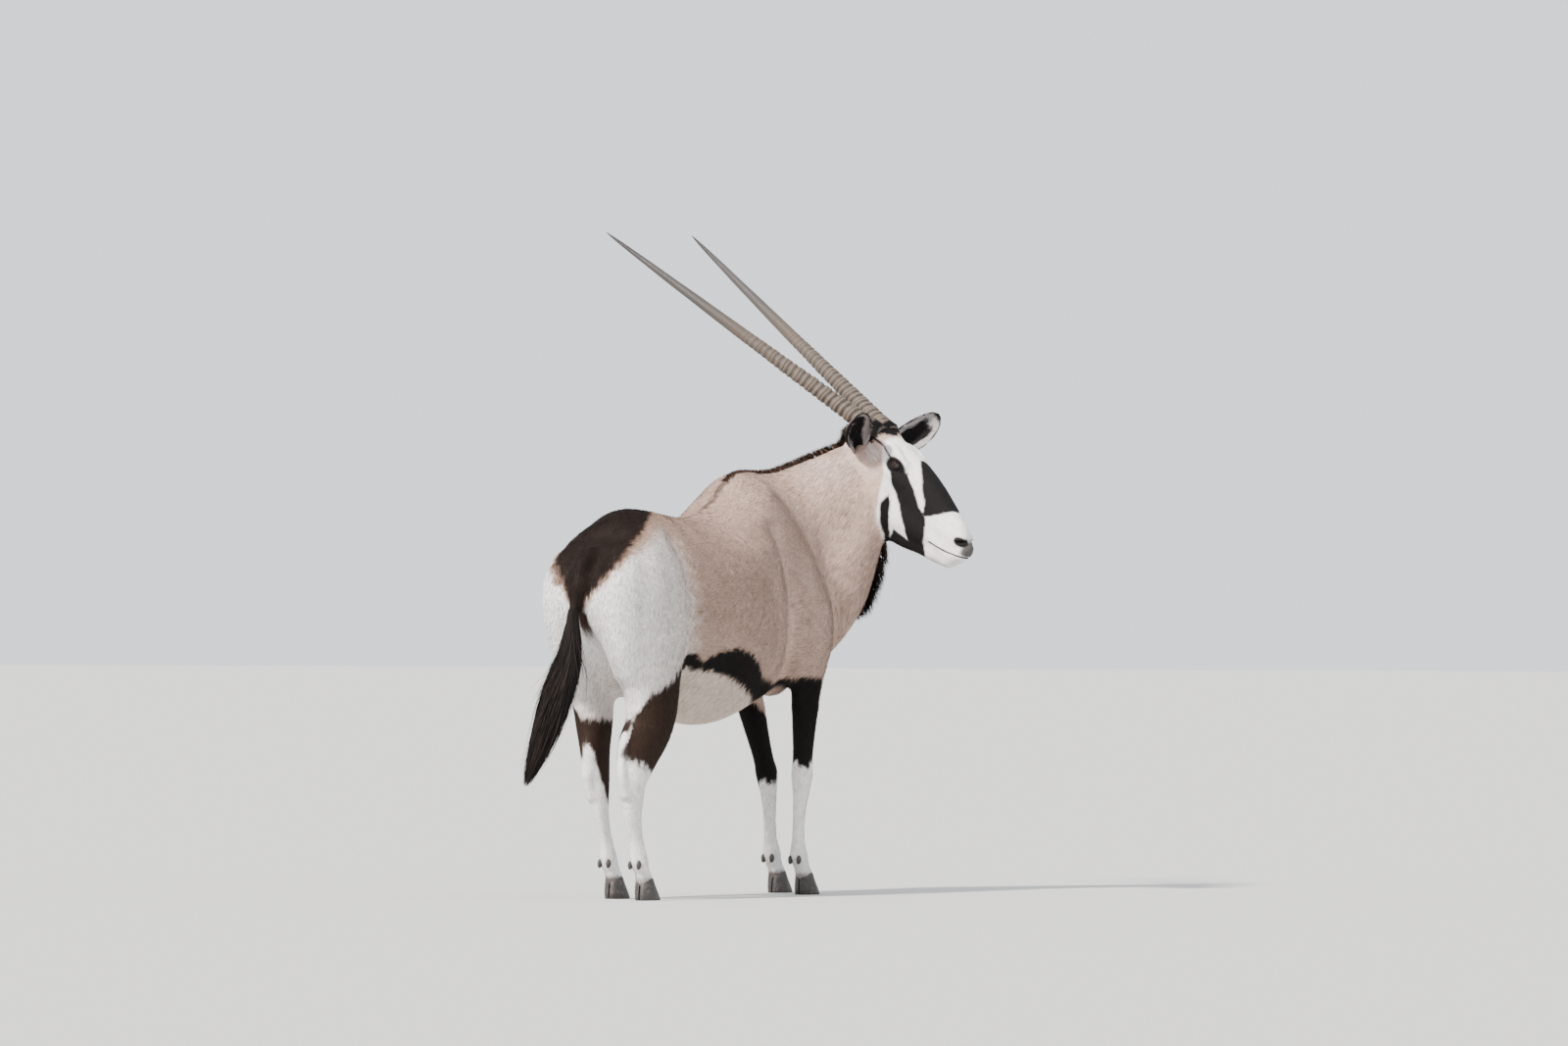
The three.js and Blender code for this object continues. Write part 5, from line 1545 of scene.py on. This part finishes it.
def patch_on_skin(points):
    """The places on the skin's unwrap nearest to points."""
    mesh = skin.data
    tree = KDTree(len(mesh.vertices))
    for number, spot in enumerate(in_animal(mesh)):
        tree.insert(spot, number)
    tree.balance()
    unwrap = np.empty(len(mesh.loops) * 2)
    mesh.uv_layers["OFBake"].data.foreach_get("uv", unwrap)
    loops = np.empty(len(mesh.loops), int)
    mesh.loops.foreach_get("vertex_index", loops)
    of_vertex = np.zeros((len(mesh.vertices), 2))
    of_vertex[loops] = unwrap.reshape(-1, 2)
    return of_vertex[[tree.find(spot)[1] for spot in points]]


def curved(roots, first, bend, long, rings):
    """Paths that leave their roots one way and bend another."""
    share = (np.arange(rings + 1) / rings)[None, :, None]
    return roots[:, None] + (first[:, None] * share + bend[:, None] * share**2) * long[:, None, None]


def along_line(line, count):
    """Random places on a line through points, and their shares of its length."""
    line = np.asarray(line, float)
    lengths = np.append(0, np.cumsum(np.linalg.norm(np.diff(line, axis=0), axis=1)))
    at = np.sort(rng.random(count)) * lengths[-1]
    return np.stack([np.interp(at, lengths, column) for column in line.T], 1), at / lengths[-1]


def tapered(wide, rings, last=0.45):
    """Widths from the root to the tip of each hair, widest a third of the way."""
    share = np.arange(rings) / rings
    return wide[:, None] * np.interp(share, [0, 0.3, 1], [0.75, 1, last])[None]


MANE = {"hairs": 4200, "aside": 6.5, "long": ([0, 0.25, 0.45, 0.8, 1], [6, 9, 17, 24, 18])}
BEARD = {"hairs": 1500, "aside": 8, "long": ([0, 0.2, 0.45, 0.75, 1], [22, 38, 50, 46, 16])}


def make_mane():
    """Short upright hair along the nape, leaning back."""
    roots, share = along_line(NAPE_LINE[4:], MANE["hairs"])
    roots = roots + [0, 0, 8]
    roots[:, 1] += rng.normal(0, MANE["aside"], len(roots))
    roots = draw_onto(body, roots, 6.0, 60, rounds=4)
    _, normals = slope_of(body, roots)
    normals = unit(normals)
    long = np.interp(share, *MANE["long"]) * rng.uniform(0.75, 1.12, len(roots))
    first = unit(normals + np.array([-0.42, 0.15, 0.4]) + 0.17 * rng.normal(size=normals.shape))
    bend = np.array([-0.3, 0.12, -0.12]) + 0.1 * rng.normal(size=normals.shape)
    paths = curved(roots, first, bend, long, 2)
    wide = rng.uniform(1.0, 1.9, len(roots))
    look = unit(np.cross(first, np.array([0.3, 0, 1.0])) + 0.5 * rng.normal(size=first.shape))
    colours = mix(np.tile(BROWN * 1.5, (len(roots), 1)), FAWN_DARK, 0.75 * rng.random(len(roots)))
    widths = tapered(wide, 2)
    make_hair("mane", paths, widths, 0.35 * widths, look, colours, patch_on_skin(roots), 0.5)


def make_beard():
    """The dark tuft down the throat."""
    roots, share = along_line(THROAT_LINE[:7], BEARD["hairs"])
    roots[:, 0] += rng.normal(0, BEARD["aside"], len(roots))
    roots = draw_onto(body, roots, 6.0, 70, rounds=4)
    off_head = head_flesh(to_head(roots)) > 4
    roots, share = roots[off_head], share[off_head]
    _, normals = slope_of(body, roots)
    normals = unit(normals)
    long = np.interp(share, *BEARD["long"]) * rng.uniform(0.7, 1.1, len(roots))
    first = unit(normals * 0.62 + np.array([0, 0, -0.7]) + 0.12 * rng.normal(size=normals.shape))
    bend = np.array([0, 0.12, -0.45]) + 0.08 * rng.normal(size=normals.shape)
    paths = curved(roots, first, bend, long, 3)
    wide = rng.uniform(2.0, 3.6, len(roots))
    colours = mix(np.tile(BLACK, (len(roots), 1)), BROWN, 0.5 * rng.random(len(roots)))
    widths = tapered(wide, 3)
    make_hair("throat_tuft", paths, widths, 0.35 * widths, normals, colours, patch_on_skin(roots), 0.5)


# The tail's hair, from the dock down: x, y, z, half-width, front and back
TAIL_HAIR = [
    [-658, 3, 840, 17, 17, 17],
    [-661, 4, 800, 20, 20, 20],
    [-668, 5, 740, 30, 28, 26],
    [-686, 12, 670, 46, 40, 34],
    [-702, 28, 600, 52, 42, 36],
    [-714, 46, 530, 48, 38, 34],
    [-724, 66, 460, 38, 30, 28],
    [-734, 90, 390, 24, 20, 18],
    [-742, 112, 330, 8, 7, 6],
]
SWITCH = {"hairs": 2800, "rings": 7, "wide": (2.2, 4.2)}


def make_switch():
    """The long tail hair: each hair keeps its place in the tail's thickness as it runs down, and ends on its own."""
    count, rings = SWITCH["hairs"], SWITCH["rings"]
    last = len(TAIL_HAIR) - 1.0
    start = rng.uniform(0, 1, count) ** 1.3 * 2.6
    end = np.clip(start + rng.uniform(1.6, 6.2, count), 3.0, last)
    end = np.where(rng.random(count) < 0.3, last - rng.uniform(0, 0.8, count), end)
    share = np.linspace(0, 1, rings + 1)[None]
    rows = smooth_rows(TAIL_HAIR, np.clip(start[:, None] + (end - start)[:, None] * share, 0, last).ravel())
    rows = rows.reshape(count, rings + 1, 6)
    turn = rng.uniform(0, 2 * np.pi, count)[:, None] + 0.5 * rng.normal(size=(count, 1)) * share
    reach = np.sqrt(rng.uniform(0.05, 1, count))[:, None] * np.interp(share, [0, 0.2, 1], [0.85, 1, 0.92])
    loose = np.where(rng.random((count, 1)) < 0.12, 0.75, 0.24)
    reach = reach * (1 + loose * rng.normal(size=(count, 1)) * share**2)
    out = np.stack([np.sin(turn), np.cos(turn)], -1)
    deep = np.where(out[..., 0] > 0, rows[..., 4], rows[..., 5])
    spots = rows[..., :3].copy()
    spots[..., 0] += out[..., 0] * deep * reach
    spots[..., 1] += out[..., 1] * rows[..., 3] * reach
    wave = np.sin(share * rng.uniform(4, 9, (count, 1)) + rng.uniform(0, 6.3, (count, 1)))
    spots[..., :2] += (wave * share)[..., None] * rng.normal(0, 2.6, (count, 1, 2))
    look = unit(np.stack([out[:, 0, 0], out[:, 0, 1], np.full(count, 0.15)], 1))
    colours = mix(np.tile(BLACK * 0.9, (count, 1)), BROWN, 0.4 * rng.random(count) ** 3)
    widths = tapered(rng.uniform(*SWITCH["wide"], count), rings)
    made = make_hair("tail_hair", spots, widths, 0.35 * widths, look, colours,
                     patch_on_skin(spots[:, 0]), 0.45)
    return made


def make_ear_fur():
    for hand, ear in ears.items():
        axes = ear_frame(hand)[1]
        points, normals, patches = spots_on(ear, lambda spots: np.full(len(spots), 0.22))
        at, across, inner = ear_place(points, normals, hand)
        long = np.where(inner, 9.0, 7.0) * rng.uniform(0.7, 1.2, len(points))
        ways = ruffled(points, np.tile(axes[0], (len(points), 1)), normals, 0.3)
        ways = lie_down(ways, normals, rng.uniform(0.1, 0.3, len(points)))
        keep = at < 192
        colours = ear_colour(points, normals, hand) * (1 + 0.12 * rng.normal(size=(len(points), 1)))
        wide = rng.uniform(1.2, 2.0, (len(points), 1))
        roots = points - normals * 0.4
        paths = np.stack([roots, roots + ways * long[:, None]], 1)[keep]
        make_hair(f"ear_{hand}_fur", paths, wide[keep], 0.3 * wide[keep], normals[keep], colours[keep],
                  patches[keep], 0.8)
        # Long pale hairs inside, from the sides of the cup towards its opening
        fringe = np.flatnonzero(inner & (at > 34) & (at < 176) & (np.abs(across) > 0.66))
        count = 260
        fringe = rng.choice(fringe, count, replace=False)
        first = unit(normals[fringe] * 0.45 + axes[0] * 0.7 + 0.15 * rng.normal(size=(count, 3)))
        bend = np.tile(axes[0] * 0.35, (count, 1))
        long = rng.uniform(10, 20, count)
        widths = tapered(rng.uniform(0.9, 1.5, count), 2)
        colours = mix(np.tile(EAR_PALE, (count, 1)), WHITE, rng.random(count) * 0.5)
        make_hair(f"ear_{hand}_hairs", curved(points[fringe], first, bend, long, 2), widths,
                  0.4 * widths, normals[fringe], colours, patches[fringe], 0.6)


def make_cheek_tufts():
    """Pale hair from the foot of each ear over the temple, and the lashes."""
    for hand, side in SIDES.items():
        count = 260
        roots = np.stack([rng.uniform(50, 92, count), side * rng.uniform(58, 66, count),
                          rng.uniform(14, 46, count)], 1)
        roots = to_head(draw_onto(body, from_head(roots), 3.0, 40, rounds=4))
        _, normals = slope_of(body, from_head(roots))
        first = unit(HEAD_AXES[0] * 0.9 - HEAD_AXES[2] * 0.25 + unit(normals) * 0.3 + 0.12 * rng.normal(size=(count, 3)))
        bend = -0.25 * unit(normals) - 0.15 * HEAD_AXES[2]
        long = rng.uniform(24, 46, count)
        widths = tapered(rng.uniform(1.3, 2.2, count), 3)
        colours = mix(np.tile(WHITE, (count, 1)), FAWN, rng.random(count) * 0.8)
        spots = from_head(roots)
        make_hair(f"temple_{hand}", curved(spots, first, bend, long, 3), widths, 0.35 * widths,
                  unit(normals), colours, patch_on_skin(spots), 0.7)

        count = 46
        share = rng.uniform(-0.9, 0.75, count)
        slant = EYE["slant"]
        ahead = share * EYE["length"] / 2
        above = EYE["height"] / 2 * (1 - share**2) ** 0.7 + 2.2
        spot = np.stack([
            EYE["along"] + ahead * math.cos(slant) - above * math.sin(slant),
            np.zeros(count),
            EYE["up"] + ahead * math.sin(slant) + above * math.cos(slant),
        ], 1)
        away = spot - [EYE["along"], 0, EYE["up"]]
        reach = np.sqrt(np.maximum((EYE["radius"] + 3.0) ** 2 - (away**2).sum(1), 9))
        spot[:, 1] = side * (EYE["out"] + reach)
        first = unit(np.stack([0.25 * share, np.full(count, side * 0.8), np.full(count, 0.45)], 1)
                     + 0.1 * rng.normal(size=(count, 3))) @ HEAD_AXES
        bend = np.tile(np.array([0, 0, -0.5]) @ HEAD_AXES, (count, 1))
        widths = tapered(np.full(count, 0.9), 3)
        spots = from_head(spot)
        make_hair(f"lashes_{hand}", curved(spots, first, bend, rng.uniform(9, 14, count), 3), widths,
                  0.5 * widths, np.tile(HEAD_AXES[2], (count, 1)), np.tile(BLACK, (count, 1)), patch_on_skin(spots),
                  0.4)


make_mane()
make_beard()
make_switch()
make_ear_fur()
make_cheek_tufts()
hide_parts("tail_tuft")


# The studio
CAMERA_AZIMUTH = math.radians(-58)
CAMERA_DISTANCE = 40.0
CAMERA_HEIGHT = 0.95
PIXELS_PER_METRE = 350.0
PHOTO_WIDTH, PHOTO_HEIGHT = 1600.0, 1067.0
ORIGIN_PIXEL = 711.0
FLOOR_PIXEL = 915.0
SENSOR = 36.0


def make_studio():
    bpy.ops.object.select_all(action="DESELECT")
    ahead = Vector((-math.sin(CAMERA_AZIMUTH), math.cos(CAMERA_AZIMUTH), 0))
    right = Vector((ahead.y, -ahead.x, 0))
    middle_right = (PHOTO_WIDTH / 2 - ORIGIN_PIXEL) / PIXELS_PER_METRE
    middle_up = (FLOOR_PIXEL - PHOTO_HEIGHT / 2) / PIXELS_PER_METRE
    aim = Vector((SHIFT[0], SHIFT[1], SHIFT[2])) + right * middle_right + Vector((0, 0, middle_up))
    spot = aim - ahead * CAMERA_DISTANCE
    spot.z = CAMERA_HEIGHT
    camera = bpy.data.cameras.new("camera")
    camera.sensor_width = SENSOR
    camera.lens = SENSOR * CAMERA_DISTANCE * PIXELS_PER_METRE / PHOTO_WIDTH
    camera.clip_end = 200.0
    holder = bpy.data.objects.new("camera", camera)
    holder.location = spot
    holder.rotation_euler = (aim - spot).to_track_quat("-Z", "Y").to_euler()
    bpy.context.scene.collection.objects.link(holder)
    bpy.context.scene.camera = holder

    bpy.ops.mesh.primitive_plane_add(size=160)
    floor = bpy.context.object
    floor.name = "floor"
    paint = Paint("studio_floor", Base_Color=(0.5, 0.495, 0.485, 1), Roughness=0.9)
    floor.data.materials.append(paint.material)

    world = bpy.data.worlds.new("studio")
    bpy.context.scene.world = world
    world.use_nodes = True
    world.node_tree.nodes["Background"].inputs["Color"].default_value = (0.93, 0.96, 1.0, 1)
    world.node_tree.nodes["Background"].inputs["Strength"].default_value = 1.45

    def sun(name, way, power, softness, colour):
        light = bpy.data.lights.new(name, "SUN")
        light.energy, light.angle, light.color = power, math.radians(softness), colour
        stand = bpy.data.objects.new(name, light)
        stand.rotation_euler = way.to_track_quat("-Z", "Y").to_euler()
        bpy.context.scene.collection.objects.link(stand)

    # The key comes from the upper left behind the camera, as the sun does in the photograph
    sun("key", ahead * 0.75 + right * 0.62 + Vector((0, 0, -0.85)), 9.0, 6, (1.0, 0.955, 0.9))
    sun("fill", ahead * 0.6 - right * 0.9 + Vector((0, 0, -0.3)), 0.35, 60, (0.92, 0.96, 1.0))


make_studio()

bpy.context.view_layer.update()
